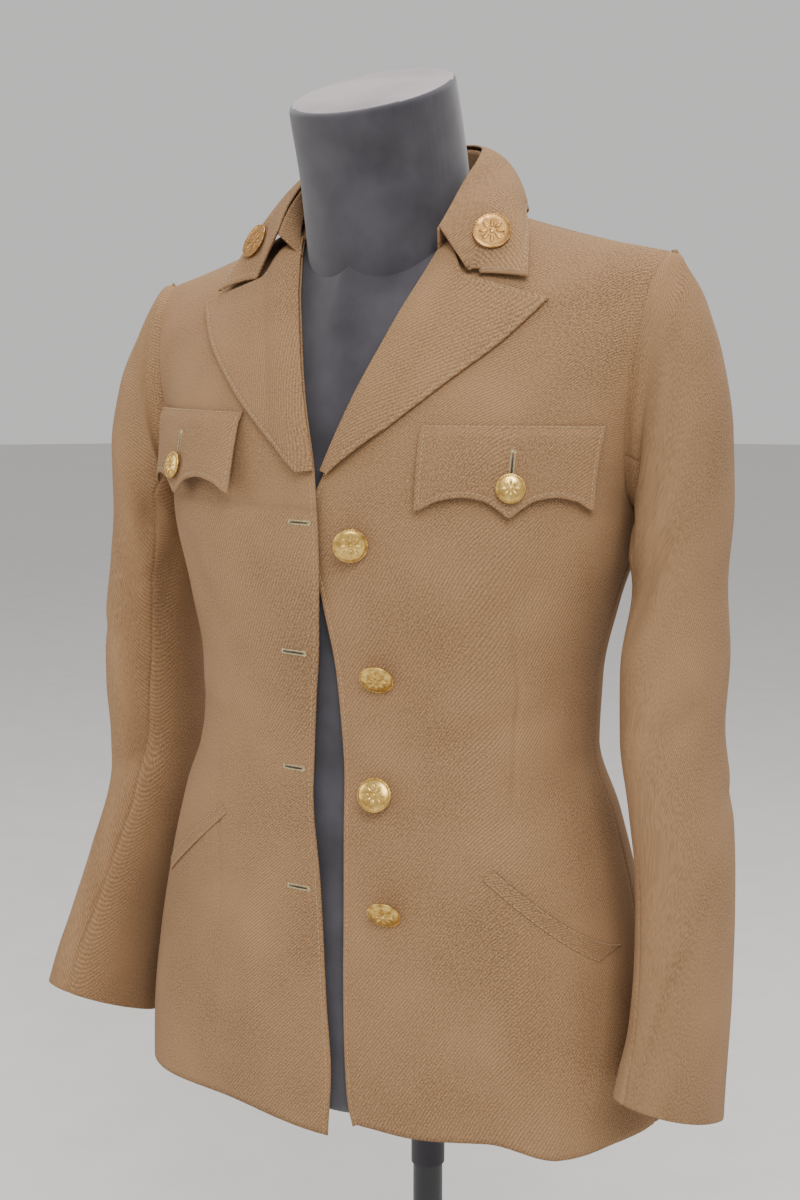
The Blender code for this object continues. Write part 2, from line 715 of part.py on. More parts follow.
class Model:
    """The collection, the materials and the empty on the body's axis."""

    def __init__(self):
        for obj in list(bpy.data.objects):
            bpy.data.objects.remove(obj, do_unlink=True)
        self.parts = bpy.data.collections.new("military_tunic")
        self.cutters = bpy.data.collections.new("cutters")
        bpy.context.scene.collection.children.link(self.parts)
        bpy.context.scene.collection.children.link(self.cutters)
        self.wool = principled("brown wool twill", (0.27, 0.18, 0.12), 0.95)
        self.gilt = principled("gilt brass", (0.78, 0.56, 0.22), 0.28, 1.0)
        self.disk_brass = principled("worn brass", (0.62, 0.40, 0.20), 0.40, 1.0)
        self.jersey = principled("black jersey", (0.045, 0.043, 0.050), 0.9)
        self.steel = principled("dark painted steel", (0.06, 0.06, 0.065), 0.5, 0.0)
        self.axis = bpy.data.objects.new("body_axis", None)
        self.axis.location = (0, -STAND_BACK, 0)
        self.parts.objects.link(self.axis)

    def add(self, name, mesh, material, on_body=True):
        mesh.materials.append(material)
        obj = bpy.data.objects.new(name, mesh)
        self.parts.objects.link(obj)
        if on_body:
            obj.parent = self.axis
        return obj


def grid_mesh(name, place, across, along):
    """A grid whose points place(a, b) lays, with a and b from 0 to 1."""
    bm = bmesh.new()
    bmesh.ops.create_grid(bm, x_segments=across, y_segments=along, size=0.5)
    for vert in bm.verts:
        vert.co = place(vert.co.x + 0.5, vert.co.y + 0.5)
    mesh = bpy.data.meshes.new(name)
    bm.to_mesh(mesh)
    bm.free()
    mesh.shade_smooth()
    return mesh


def add_cloth(model, name, place, across, along, wall):
    """A sheet of cloth with its wall turned inwards from its outer surface."""
    obj = model.add(name, grid_mesh(name, place, across, along), model.wool)
    solidify = obj.modifiers.new("wall", "SOLIDIFY")
    solidify.thickness = wall
    solidify.offset = -1
    return obj


def turned_mesh(name, profile):
    """An open profile in the XZ plane, for a Screw about Z."""
    mesh = bpy.data.meshes.new(name)
    bm = bmesh.new()
    verts = [bm.verts.new((x, 0, z)) for x, z in profile]
    for first, second in zip(verts, verts[1:]):
        bm.edges.new((first, second))
    bm.to_mesh(mesh)
    bm.free()
    return mesh


def add_screw(obj, segments):
    screw = obj.modifiers.new("turn", "SCREW")
    screw.angle = 2 * math.pi
    screw.steps = segments
    screw.render_steps = segments
    screw.use_merge_vertices = True
    screw.merge_threshold = 0.00005
    screw.use_smooth_shade = True
    return screw


def button_profile(radius, shank):
    """A domed button on a shank, from the dome's middle out and round to the shank's end."""
    dome = 0.24 * radius
    rim = 0.0012
    stem = 0.0016
    arc = [
        (radius * math.sin(t), shank + rim + dome * math.cos(t))
        for t in (0.0, math.radians(30), math.radians(60), math.radians(90))
    ]
    back = [(radius * 0.97, shank), (stem, shank - 0.0006), (stem, 0.0), (0.0, 0.0)]
    return arc + back


def disk_profile(radius, shank):
    """A thin disk with a raised rim, on a short shank."""
    face = shank + 0.0011
    return [
        (0.0, face),
        (radius * 0.86, face),
        (radius * 0.92, face + 0.0006),
        (radius, face + 0.0002),
        (radius, shank),
        (0.0020, shank),
        (0.0020, 0.0),
        (0.0, 0.0),
    ]


def add_turned(model, name, mesh, material, point, facing, segments):
    """A turned piece with its foot at point and its axis along facing."""
    obj = model.add(name, mesh.copy(), material)
    obj.location = point
    obj.rotation_euler = facing.to_track_quat("Z", "Y").to_euler()
    add_screw(obj, segments)
    return obj


def add_front_buttons(model):
    mesh = turned_mesh("front_button", button_profile(BUTTON_RADIUS, BUTTON_SHANK))
    for button in FRONT_BUTTONS:
        around, up = surface_at(button.x, button.z, 1)
        facing = outward_at(around, up)
        sideways = Vector((0, 0, 1)).cross(facing).normalized()
        droop, turn = math.radians(button.droop), math.radians(button.turn)
        facing.rotate(Quaternion(sideways, droop))
        facing.rotate(Quaternion((0, 0, 1), turn))
        tilt = outward_at(around, up).angle(facing)
        foot = lifted(around, up, 0.0004 + 0.0016 * math.sin(tilt))
        add_turned(model, button.name, mesh, model.gilt, foot, facing, 14)


def add_flap_buttons(model):
    mesh = turned_mesh("flap_button", button_profile(FLAP_BUTTON_RADIUS, FLAP_BUTTON_SHANK))
    for flap in FLAPS:
        place, step = (0.5, 0.68), 0.02
        centre = flap_point(flap, *place)
        across = flap_point(flap, place[0] + step, place[1]) - centre
        along = flap_point(flap, place[0], place[1] - step) - centre
        facing = across.cross(along).normalized() * flap.side
        name = "flap_button_" + ("left" if flap.side > 0 else "right")
        add_turned(model, name, mesh, model.gilt, centre + facing * 0.0005, facing, 14)


def add_collar_disks(model):
    mesh = turned_mesh("collar_disk", disk_profile(DISK_RADIUS, DISK_SHANK))
    for side, name in ((1, "collar_disk_left"), (-1, "collar_disk_right")):
        t, b = DISK_PLACE
        centre = leaf_point(side * t, b)
        across = leaf_point(side * (t + 0.04), b) - leaf_point(side * (t - 0.04), b)
        along = leaf_point(side * t, b + 0.08) - leaf_point(side * t, b - 0.08)
        facing = across.cross(along).normalized() * side
        foot = centre + facing * (DOUBLE_CLOTH + DISK_SEAT)
        add_turned(model, name, mesh, model.disk_brass, foot, facing, 20)


def form_point(around, up):
    """The form's surface: it keeps inside the cloth, and goes straight across at the arms."""
    side = side_of(around)
    turn = abs(around)
    front_end, back_end = SCYE_FRONT - 2, 180 - SCYE_BACK + 2
    if up <= 1 or turn <= front_end or turn >= back_end:
        return lifted(around, up, -FORM_INSET)
    t = (turn - front_end) / (back_end - front_end)
    front = lifted(side * front_end, up, -FORM_INSET)
    back = lifted(side * back_end, up, -FORM_INSET)
    flat = front.lerp(back, t)
    level = lifted(around, 1.0, -FORM_INSET)
    level.z = flat.z
    return level.lerp(flat, smooth((up - 1) / 0.3))


def add_form(model):
    """The torso, lofted ring by ring, joined with the leaning neck."""
    bm = bmesh.new()
    rings = []
    for up in FORM_ROWS:
        count = FORM_COLUMNS * 2
        ring = [form_point(360.0 * (k + 0.5) / count - 180.0, up) for k in range(count)]
        if up == FORM_ROWS[0]:
            for point in ring:
                point.z = FORM_BOTTOM_Z
        rings.append([bm.verts.new(point) for point in ring])
    for low, high in zip(rings, rings[1:]):
        for k in range(len(low)):
            after = (k + 1) % len(low)
            bm.faces.new((low[k], low[after], high[after], high[k]))
    bm.faces.new(list(reversed(rings[0])))
    top = bm.faces.new(rings[-1])
    bmesh.ops.triangulate(bm, faces=[top])
    torso_mesh = bpy.data.meshes.new("dress_form")
    bmesh.ops.recalc_face_normals(bm, faces=bm.faces)
    bm.to_mesh(torso_mesh)
    bm.free()
    torso = model.add("dress_form", torso_mesh, model.jersey)

    neck_bm = bmesh.new()
    loops = []
    for index, (y, z, radius) in enumerate(NECK_SECTIONS):
        lean = math.radians(NECK_TILT) if index == len(NECK_SECTIONS) - 1 else 0.0
        loop = []
        for k in range(NECK_SEGMENTS):
            angle = 2 * math.pi * k / NECK_SEGMENTS
            x, depth = radius * math.cos(angle), radius * math.sin(angle)
            loop.append(
                neck_bm.verts.new((x, y + depth * math.cos(lean), z + depth * math.sin(lean)))
            )
        loops.append(loop)
    for low, high in zip(loops, loops[1:]):
        for k in range(NECK_SEGMENTS):
            after = (k + 1) % NECK_SEGMENTS
            neck_bm.faces.new((low[k], low[after], high[after], high[k]))
    neck_bm.faces.new(list(reversed(loops[0])))
    neck_bm.faces.new(loops[-1])
    bmesh.ops.recalc_face_normals(neck_bm, faces=neck_bm.faces)
    neck_mesh = bpy.data.meshes.new("neck")
    neck_bm.to_mesh(neck_mesh)
    neck_bm.free()
    neck = bpy.data.objects.new("neck", neck_mesh)
    model.cutters.objects.link(neck)
    neck.parent = model.axis
    neck.hide_render = True
    neck.display_type = "WIRE"
    union = torso.modifiers.new("neck", "BOOLEAN")
    union.operation = "UNION"
    union.object = neck


def add_cylinder(model, name, radius, low, high, material):
    bm = bmesh.new()
    bmesh.ops.create_cone(
        bm,
        cap_ends=True,
        segments=ROUND_SEGMENTS,
        radius1=radius,
        radius2=radius,
        depth=high - low,
    )
    bmesh.ops.translate(bm, verts=bm.verts, vec=(0, 0, (low + high) / 2))
    mesh = bpy.data.meshes.new(name)
    bm.to_mesh(mesh)
    bm.free()
    mesh.shade_smooth()
    mesh.set_sharp_from_angle(angle=math.radians(40))
    return model.add(name, mesh, material, on_body=False)


def add_stand(model):
    """The round base, the pole and the socket under the form."""
    gap = 0.0003
    base = add_cylinder(model, "stand_base", BASE_RADIUS, 0.0, BASE_THICKNESS, model.steel)
    bevel = base.modifiers.new("edge", "BEVEL")
    bevel.width = 0.003
    bevel.segments = 2
    bevel.limit_method = "ANGLE"
    pole_foot = BASE_THICKNESS + gap
    add_cylinder(model, "stand_pole", POLE_RADIUS, pole_foot, SOCKET_BOTTOM_Z - gap, model.steel)
    top = FORM_BOTTOM_Z - gap
    add_cylinder(model, "stand_socket", SOCKET_RADIUS, SOCKET_BOTTOM_Z, top, model.jersey)


def main():
    model = Model()
    rows = len(PANEL_ROWS) - 1
    sleeve_rows = len(SLEEVE_ROWS) - 1
    for side, word in ((1, "left"), (-1, "right")):
        add_cloth(model, f"front_{word}", front_place(side), FRONT_COLUMNS, rows, CLOTH)
        add_cloth(model, f"back_{word}", back_place(side), BACK_COLUMNS, rows, CLOTH)
        for upper, cut, columns in (
            (True, "upper", UPPER_COLUMNS),
            (False, "under", UNDER_COLUMNS),
        ):
            name = f"{cut}_sleeve_{word}"
            add_cloth(model, name, sleeve_place(side, upper), columns, sleeve_rows, CLOTH)
        add_cloth(model, f"lapel_{word}", lapel_place(side), 10, 14, DOUBLE_CLOTH)
    add_cloth(model, "collar", leaf_place, 36, 6, DOUBLE_CLOTH)
    add_cloth(model, "collar_stand", stand_place, 26, 2, CLOTH)
    for flap in FLAPS:
        add_cloth(model, flap.name, flap_place(flap), 18, 4, DOUBLE_CLOTH)
    for welt in WELTS:
        add_cloth(model, welt.name, welt_place(welt), 10, 1, WELT_WALL)
    add_front_buttons(model)
    add_flap_buttons(model)
    add_collar_disks(model)
    add_form(model)
    add_stand(model)


main()
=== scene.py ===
"""A brown wool service tunic, worn open on a black dress form with a pole and a round base.

Every cloth piece is a fine grid laid on one body surface. The surface, the seams and the folds
come from the tables below. Units are metres, the front faces -Y and the wearer's left is +X.
"""

from __future__ import annotations

import logging
import math
from dataclasses import dataclass
from enum import Enum
from types import SimpleNamespace
from typing import Callable, Sequence

import bmesh
import bpy
import numpy as np
from mathutils import Matrix, Quaternion, Vector, noise


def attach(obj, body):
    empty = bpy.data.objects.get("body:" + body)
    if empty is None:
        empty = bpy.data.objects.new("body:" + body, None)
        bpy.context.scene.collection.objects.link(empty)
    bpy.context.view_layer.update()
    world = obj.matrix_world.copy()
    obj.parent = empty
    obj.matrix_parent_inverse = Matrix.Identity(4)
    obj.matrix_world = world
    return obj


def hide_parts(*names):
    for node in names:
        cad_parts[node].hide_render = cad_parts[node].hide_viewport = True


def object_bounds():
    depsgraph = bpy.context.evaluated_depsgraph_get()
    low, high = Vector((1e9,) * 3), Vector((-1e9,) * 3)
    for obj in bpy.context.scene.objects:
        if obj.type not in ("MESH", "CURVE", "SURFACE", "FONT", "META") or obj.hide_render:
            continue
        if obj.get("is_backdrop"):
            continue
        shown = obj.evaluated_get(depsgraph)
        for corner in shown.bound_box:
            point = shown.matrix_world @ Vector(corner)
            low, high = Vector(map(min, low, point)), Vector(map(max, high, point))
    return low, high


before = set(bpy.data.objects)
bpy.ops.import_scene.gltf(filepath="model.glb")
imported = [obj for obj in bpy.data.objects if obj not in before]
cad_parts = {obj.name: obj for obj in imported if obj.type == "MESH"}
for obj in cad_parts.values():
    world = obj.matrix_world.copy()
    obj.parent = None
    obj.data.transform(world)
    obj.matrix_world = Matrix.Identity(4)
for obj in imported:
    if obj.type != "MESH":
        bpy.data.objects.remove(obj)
CAD_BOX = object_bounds()
log = logging.getLogger("tunic")

Array = np.ndarray
Pair = tuple[float, float]

# The pole stands this far behind the body's axis, and the tables are on that axis
STAND_BACK = 0.025
BODY_SHIFT = np.array([0.0, -STAND_BACK, 0.0])


class Side(Enum):
    """The wearer's two sides."""

    LEFT = 1
    RIGHT = -1

    @property
    def word(self) -> str:
        """The word used in the names of pieces."""
        return self.name.lower()


class Table:
    """A table of rows that is read smoothly by its first column, with no overshoot."""

    def __init__(self, columns: str, rows: Sequence[Sequence[float]]) -> None:
        """Keeps the rows and works out the slope at each.

        Args:
            columns: The names of the columns after the first, apart by spaces.
            rows: The rows, each with its key first.
        """
        data = np.array(rows, dtype=float)
        self.columns = columns.split()
        self.keys = data[:, 0]
        self.values = data[:, 1:]
        steps = np.diff(self.values, axis=0) / np.diff(self.keys)[:, None]
        before, after = steps[:-1], steps[1:]
        total = np.where(before + after == 0, 1.0, before + after)
        inner = np.where(before * after > 0, 2 * before * after / total, 0.0)
        flat = np.zeros((1, self.values.shape[1]))
        self.slopes = np.vstack([flat, inner, flat])

    def __call__(self, at: Array | float) -> SimpleNamespace:
        """Reads every column.

        Args:
            at: The key or keys.

        Returns:
            One array for each column.
        """
        at = np.clip(np.asarray(at, dtype=float), self.keys[0], self.keys[-1])
        low = np.clip(np.searchsorted(self.keys, at, side="right") - 1, 0, len(self.keys) - 2)
        span = self.keys[low + 1] - self.keys[low]
        t = ((at - self.keys[low]) / span)[..., None]
        span = span[..., None]
        read = (
            (2 * t**3 - 3 * t**2 + 1) * self.values[low]
            + (t**3 - 2 * t**2 + t) * span * self.slopes[low]
            + (3 * t**2 - 2 * t**3) * self.values[low + 1]
            + (t**3 - t**2) * span * self.slopes[low + 1]
        )
        return SimpleNamespace(**{name: read[..., k] for k, name in enumerate(self.columns)})


# Places along the height
CHEST_Z = 0.765
NECK_HALF = 0.062
SHOULDER_HALF = 0.199
SHOULDER_NECK_Z = 0.969
TIP_Z = {Side.LEFT: 0.935, Side.RIGHT: 0.918}
BACK_NECK = (0.030, 0.972)
FRONT_NECK = (-0.070, 0.948)
SHOULDER_Y = -0.012
SCYE_FRONT = 62.0
SCYE_BACK = 58.0
FLARE_TOP = 0.48
LAP_WIDTH = 0.060
SIDE_SEAM = 95.0

BODY = Table(
    "half_width front back side round_front round_back",
    (
        (0.310, 0.1975, -0.137, 0.100, -0.020, 0.88, 0.90),
        (0.380, 0.1965, -0.138, 0.102, -0.020, 0.88, 0.90),
        (0.440, 0.1910, -0.136, 0.101, -0.021, 0.88, 0.90),
        (0.500, 0.1800, -0.132, 0.096, -0.022, 0.89, 0.90),
        (0.554, 0.1660, -0.128, 0.087, -0.022, 0.90, 0.90),
        (0.603, 0.1500, -0.123, 0.079, -0.022, 0.92, 0.92),
        (0.650, 0.1510, -0.124, 0.081, -0.020, 0.92, 0.90),
        (0.700, 0.1610, -0.127, 0.087, -0.018, 0.90, 0.88),
        (CHEST_Z, 0.1770, -0.128, 0.096, -0.014, 0.88, 0.86),
    ),
)
HEM = Table(
    "z flare",
    (
        (-180, 0.336, 0.003),
        (-145, 0.335, -0.001),
        (-110, 0.336, 0.004),
        (-75, 0.340, 0.001),
        (-45, 0.344, 0.005),
        (-20, 0.347, 0.000),
        (4.5, 0.341, 0.002),
        (8, 0.352, 0.000),
        (20, 0.350, 0.001),
        (36, 0.351, -0.001),
        (53, 0.341, 0.004),
        (75, 0.343, -0.001),
        (110, 0.338, 0.004),
        (145, 0.336, -0.001),
        (180, 0.336, 0.003),
    ),
)
FRONT_EDGE = {
    Side.LEFT: Table(
        "x lift",
        (
            (0.330, 0.034, 0.0),
            (0.371, 0.0275, 0.0),
            (0.458, 0.0227, 0.0),
            (0.520, 0.0207, 0.0),
            (0.607, 0.0164, 0.0),
            (0.666, 0.011, 0.0),
            (0.705, 0.003, 0.0),
            (0.746, -0.005, 0.0),
            (0.772, -0.004, 0.0),
            (0.790, 0.004, 0.0),
            (0.840, 0.025, 0.0),
            (0.885, 0.043, 0.0),
            (0.930, 0.057, 0.0),
            (0.969, NECK_HALF, 0.0),
        ),
    ),
    Side.RIGHT: Table(
        "x lift",
        (
            (0.330, 0.013, 0.001),
            (0.384, 0.016, 0.001),
            (0.435, 0.011, 0.001),
            (0.517, 0.003, 0.001),
            (0.589, -0.006, 0.001),
            (0.640, -0.003, 0.002),
            (0.680, 0.002, 0.004),
            (0.735, 0.004, 0.0045),
            (0.790, 0.001, 0.0045),
            (0.833, -0.011, 0.001),
            (0.885, -0.027, 0.0),
            (0.915, -0.040, 0.0),
            (0.969, -NECK_HALF, 0.0),
        ),
    ),
}
SCYE = Table(
    "front back",
    (
        (1.00, SIDE_SEAM, SIDE_SEAM),
        (1.02, 89.0, 101.0),
        (1.06, 85.0, 105.5),
        (1.12, 81.5, 109.0),
        (1.28, 74.0, 114.0),
        (1.47, 68.0, 118.0),
        (1.73, 63.0, 121.0),
        (2.00, SCYE_FRONT, 180.0 - SCYE_BACK),
    ),
)
PANEL_ROWS = (
    (0.0, 0.08, 0.17, 0.26, 0.35, 0.43, 0.51, 0.59, 0.67, 0.75, 0.83, 0.92, 1.0)
    + (1.025, 1.065, 1.12, 1.20, 1.30, 1.41, 1.53, 1.65, 1.76, 1.86, 1.94, 1.995)
)
LAPEL_EDGE = Table(
    "x z",
    (
        (0.00, 0.010, 0.792),
        (0.25, 0.050, 0.822),
        (0.50, 0.085, 0.851),
        (0.75, 0.114, 0.8765),
        (1.00, 0.136, 0.9035),
    ),
)
COLLAR = Table(
    "fold_x fold_y fold_z edge_x edge_y foot_z",
    (
        (0.00, 0.0000, 0.0290, 1.0120, 0.0000, 0.0480, 0.9740),
        (0.25, 0.0340, 0.0180, 1.0105, 0.0500, 0.0340, 0.9735),
        (0.45, 0.0580, -0.0080, 1.0040, 0.0830, 0.0060, 0.9725),
        (0.60, 0.0640, -0.0320, 0.9910, 0.0950, -0.0180, 0.9700),
        (0.80, 0.0645, -0.0570, 0.9710, 0.1100, -0.0400, 0.9600),
        (1.00, 0.0620, -0.0760, 0.9510, 0.1205, -0.0600, 0.9450),
    ),
)
SCALLOP = Table(
    "rise",
    (
        (0.00, 0.0000),
        (0.12, 0.0050),
        (0.28, 0.0105),
        (0.50, 0.0125),
        (0.75, 0.0100),
        (1.00, 0.0035),
    ),
)
SLEEVE = {
    Side.LEFT: Table(
        "x y z out_x out_z half_depth tip",
        (
            (0.000, 0.1870, 0.008, 0.850, 0.0120, 0.085, 0.0540, 0.0),
            (0.015, 0.1970, 0.000, 0.846, 0.0110, 0.082, 0.0480, 0.0),
            (0.045, 0.2010, -0.007, 0.834, 0.0145, 0.075, 0.0450, 0.0),
            (0.080, 0.2050, -0.009, 0.812, 0.0235, 0.061, 0.0470, 0.0),
            (0.115, 0.2085, -0.009, 0.785, 0.0280, 0.041, 0.0520, 0.0),
            (0.155, 0.2090, -0.009, 0.752, 0.0290, 0.021, 0.0550, 0.0),
            (0.200, 0.2085, -0.012, 0.714, 0.0275, 0.007, 0.0530, 0.0),
            (0.250, 0.2095, -0.016, 0.665, 0.0300, 0.000, 0.0590, 0.0),
            (0.300, 0.2110, -0.018, 0.620, 0.0300, 0.000, 0.0590, 0.0),
            (0.345, 0.2180, -0.022, 0.575, 0.0280, 0.000, 0.0570, 0.0),
            (0.390, 0.2250, -0.029, 0.530, 0.0270, 0.000, 0.0540, 0.002),
            (0.440, 0.2290, -0.038, 0.481, 0.0270, 0.000, 0.0530, 0.003),
            (0.490, 0.2305, -0.048, 0.436, 0.0275, 0.000, 0.0560, 0.004),
            (0.535, 0.2300, -0.057, 0.401, 0.0290, -0.003, 0.0580, 0.013),
            (0.570, 0.2295, -0.061, 0.379, 0.0300, -0.005, 0.0590, 0.020),
        ),
    ),
    Side.RIGHT: Table(
        "x y z out_x out_z half_depth tip",
        (
            (0.000, 0.1850, 0.008, 0.842, 0.0130, 0.077, 0.0540, 0.0),
            (0.015, 0.1950, 0.000, 0.838, 0.0110, 0.078, 0.0490, 0.0),
            (0.045, 0.2020, -0.006, 0.824, 0.0180, 0.070, 0.0475, 0.0),
            (0.080, 0.2110, -0.006, 0.802, 0.0270, 0.055, 0.0510, 0.0),
            (0.115, 0.2145, -0.006, 0.777, 0.0305, 0.036, 0.0545, 0.0),
            (0.155, 0.2145, -0.006, 0.747, 0.0300, 0.018, 0.0535, 0.0),
            (0.200, 0.2200, -0.006, 0.710, 0.0285, 0.006, 0.0530, 0.0),
            (0.250, 0.2250, -0.008, 0.665, 0.0270, 0.000, 0.0540, 0.0),
            (0.300, 0.2240, -0.010, 0.620, 0.0270, 0.000, 0.0540, 0.0),
            (0.345, 0.2210, -0.012, 0.572, 0.0265, 0.000, 0.0520, 0.004),
            (0.390, 0.2200, -0.018, 0.527, 0.0260, 0.000, 0.0520, 0.012),
            (0.440, 0.2225, -0.038, 0.477, 0.0250, 0.000, 0.0520, 0.019),
            (0.490, 0.2260, -0.056, 0.433, 0.0255, 0.000, 0.0525, 0.022),
            (0.535, 0.2290, -0.069, 0.400, 0.0265, 0.003, 0.0540, 0.023),
            (0.570, 0.2310, -0.077, 0.375, 0.0270, 0.006, 0.0550, 0.023),
        ),
    ),
}
SLEEVE_SEAMS = Table(
    "front back",
    (
        (0.00, 0.370, 0.675),
        (0.12, 0.350, 0.680),
        (0.20, 0.375, 0.685),
        (0.26, 0.395, 0.690),
        (0.32, 0.380, 0.690),
        (0.38, 0.335, 0.695),
        (0.45, 0.325, 0.700),
        (0.57, 0.300, 0.700),
    ),
)
SLEEVE_END = 0.57


def smooth(t: Array | float) -> Array:
    """Eases from 0 to 1 as t goes from 0 to 1."""
    t = np.clip(t, 0.0, 1.0)
    return t * t * (3 - 2 * t)


def blend(a: Array | float, b: Array | float, t: Array | float) -> Array:
    """Goes from a to b as t goes from 0 to 1."""
    return a + (b - a) * t


def power(value: Array, exponent: Array | float) -> Array:
    """Raises a number to a power and keeps its sign."""
    return np.sign(value) * np.abs(value) ** exponent


def unit(vectors: Array) -> Array:
    """Vectors of length one."""
    size = np.linalg.norm(vectors, axis=-1, keepdims=True)
    return vectors / np.where(size == 0, 1.0, size)


def stack(x: Array, y: Array, z: Array) -> Array:
    """Joins coordinates into points."""
    return np.stack(np.broadcast_arrays(x, y, z), axis=-1)


def section(around: Array, z: Array) -> Array:
    """Points on the horizontal section at a height.

    Args:
        around: Degrees from the centre front, positive to the wearer's left.
        z: Height.

    Returns:
        The points.
    """
    row = BODY(z)
    turn = np.radians(around)
    front = np.cos(turn) >= 0
    exponent = np.where(front, row.round_front, row.round_back)
    depth = np.where(front, row.side - row.front, row.back - row.side)
    x = row.half_width * power(np.sin(turn), exponent)
    y = row.side - depth * power(np.cos(turn), exponent)
    return stack(x, y, z)


def top_line(x: Array, side: Array, front: Array) -> Array:
    """Points on the shoulder seam, or on the neck's edge nearer the middle.

    Args:
        x: Distance across, with its sign.
        side: 1 on the wearer's left and -1 on the right.
        front: Whether the point is on the front.

    Returns:
        The points.
    """
    reach = np.abs(x)
    t = (reach - NECK_HALF) / (SHOULDER_HALF - NECK_HALF)
    sag = 0.003 * np.sin(np.pi * np.clip(t, 0, 1))
    tip = np.where(side > 0, TIP_Z[Side.LEFT], TIP_Z[Side.RIGHT])
    seam = stack(x, np.full_like(x, SHOULDER_Y), blend(SHOULDER_NECK_Z, tip, t) - sag)
    inner = np.clip(1 - reach / NECK_HALF, 0, 1)
    share = np.where(front, inner**1.5, np.sqrt(1 - (1 - inner) ** 2))
    end_y = np.where(front, FRONT_NECK[0], BACK_NECK[0])
    end_z = np.where(front, FRONT_NECK[1], BACK_NECK[1])
    neck = stack(x, blend(SHOULDER_Y, end_y, share), blend(SHOULDER_NECK_Z, end_z, share))
    return np.where((reach >= NECK_HALF)[..., None], seam, neck)


def body(around: Array, up: Array) -> Array:
    """Points on the cloth's outer surface.

    Args:
        around: Degrees from the centre front, positive to the wearer's left.
        up: 0 at the hem, 1 at the underarm and 2 on the shoulder seam.

    Returns:
        The points.
    """
    around, up = np.broadcast_arrays(np.asarray(around, float), np.asarray(up, float))
    around = np.where(np.abs(around) > 180, around - np.sign(around) * 360, around)
    side = np.where(around >= 0, 1.0, -1.0)
    hem = HEM(around)
    z = blend(hem.z, CHEST_Z, np.minimum(up, 1.0))
    low = section(around, z)
    fade = 1 - smooth((z - hem.z) / (FLARE_TOP - hem.z))
    outward = unit(stack(low[..., 0], low[..., 1] - BODY(z).side, np.zeros_like(z)))
    low = low + outward * (hem.flare * fade)[..., None]
    front = np.abs(around) <= 90
    chest = section(around, np.full_like(around, CHEST_Z))
    turn = np.where(front, np.abs(around), 180 - np.abs(around))
    share = turn / np.where(front, SCYE_FRONT, SCYE_BACK)
    top = top_line(side * SHOULDER_HALF * np.minimum(share**0.92, 1.35), side, front)
    rise = np.clip(up - 1, 0, 1)
    phi = rise * np.pi / 2
    fall = np.maximum(np.cos(phi), 0) ** np.where(front, 1.30, 0.95)
    high = stack(
        blend(chest[..., 0], top[..., 0], smooth(rise) ** 0.9),
        blend(top[..., 1], chest[..., 1], fall),
        blend(CHEST_Z, top[..., 2], np.sin(phi)),
    )
    return np.where((up <= 1)[..., None], low, high)


def body_normal(around: Array, up: Array) -> Array:
    """The surface's outward unit normals."""
    across = body(around + 0.5, up) - body(around - 0.5, up)
    along = body(around, np.minimum(up + 0.01, 1.995)) - body(around, np.maximum(up - 0.01, 0))
    return unit(np.cross(across, along))


def lifted(around: Array, up: Array, lift: Array | float) -> Array:
    """Points that stand off the surface by lift."""
    lift = np.broadcast_to(np.asarray(lift, float), np.broadcast(around, up).shape)
    return body(around, up) + body_normal(around, up) * lift[..., None]


def find_front(x: Array, z: Array, side: int) -> tuple[Array, Array]:
    """Where the front's surface has this x and z.

    Args:
        x: Distance across, with its sign.
        z: Height.
        side: 1 on the wearer's left and -1 on the right.

    Returns:
        The angles and the height shares.
    """
    x, z = np.broadcast_arrays(np.asarray(x, float), np.asarray(z, float))
    around = np.full(x.shape, 40.0 * side)
    up = np.clip((z - 0.34) / (CHEST_Z - 0.34), 0.05, 1.3)
    for _ in range(24):
        here = body(around, up)
        ex, ez = x - here[..., 0], z - here[..., 2]
        turned = (body(around + 0.2, up) - here) / 0.2
        raised = (body(around, up + 0.004) - here) / 0.004
        size = turned[..., 0] * raised[..., 2] - raised[..., 0] * turned[..., 2]
        size = np.where(np.abs(size) < 1e-12, 1e-12, size)
        around = around + np.clip((ex * raised[..., 2] - raised[..., 0] * ez) / size, -20, 20)
        step = np.clip((turned[..., 0] * ez - turned[..., 2] * ex) / size, -0.3, 0.3)
        up = np.clip(up + step, 0, 1.99)
    return around, up


def on_front(x: Array, z: Array, side: int, lift: Array | float) -> Array:
    """Points over the front's surface at this x and z."""
    around, up = find_front(x, z, side)
    return lifted(around, up, lift)


def cape(x: Array, y: Array, side: Array, lift: float) -> Array:
    """Points over the shoulders, upper back or upper chest at this place in plan.

    Args:
        x: Distance across, with its sign.
        y: Distance back.
        side: 1 on the wearer's left and -1 on the right.
        lift: How far the points stand off the surface.

    Returns:
        The points.
    """
    front = y < SHOULDER_Y
    around = side * np.where(front, 25.0, 155.0)
    around = np.where(np.abs(x) < 1e-6, side * 180.0, around)
    up = np.full(x.shape, 1.85)
    for _ in range(30):
        here = body(around, up)
        ex, ey = x - here[..., 0], y - here[..., 1]
        turned = (body(around - side * 0.2, up) - here) / (-side * 0.2)[..., None]
        raised = (body(around, up - 0.004) - here) / -0.004
        size = turned[..., 0] * raised[..., 1] - raised[..., 0] * turned[..., 1]
        size = np.where(np.abs(size) < 1e-12, 1e-12, size)
        around = around + np.clip((ex * raised[..., 1] - raised[..., 0] * ey) / size, -15, 15)
        up = up + np.clip((turned[..., 0] * ey - turned[..., 1] * ex) / size, -0.1, 0.1)
        up = np.clip(up, 1.3, 1.995)
        low, high = np.where(front, 0.5, 100.0), np.where(front, 80.0, 180.0)
        around = side * np.clip(side * around, low, high)
    return lifted(around, up, lift)


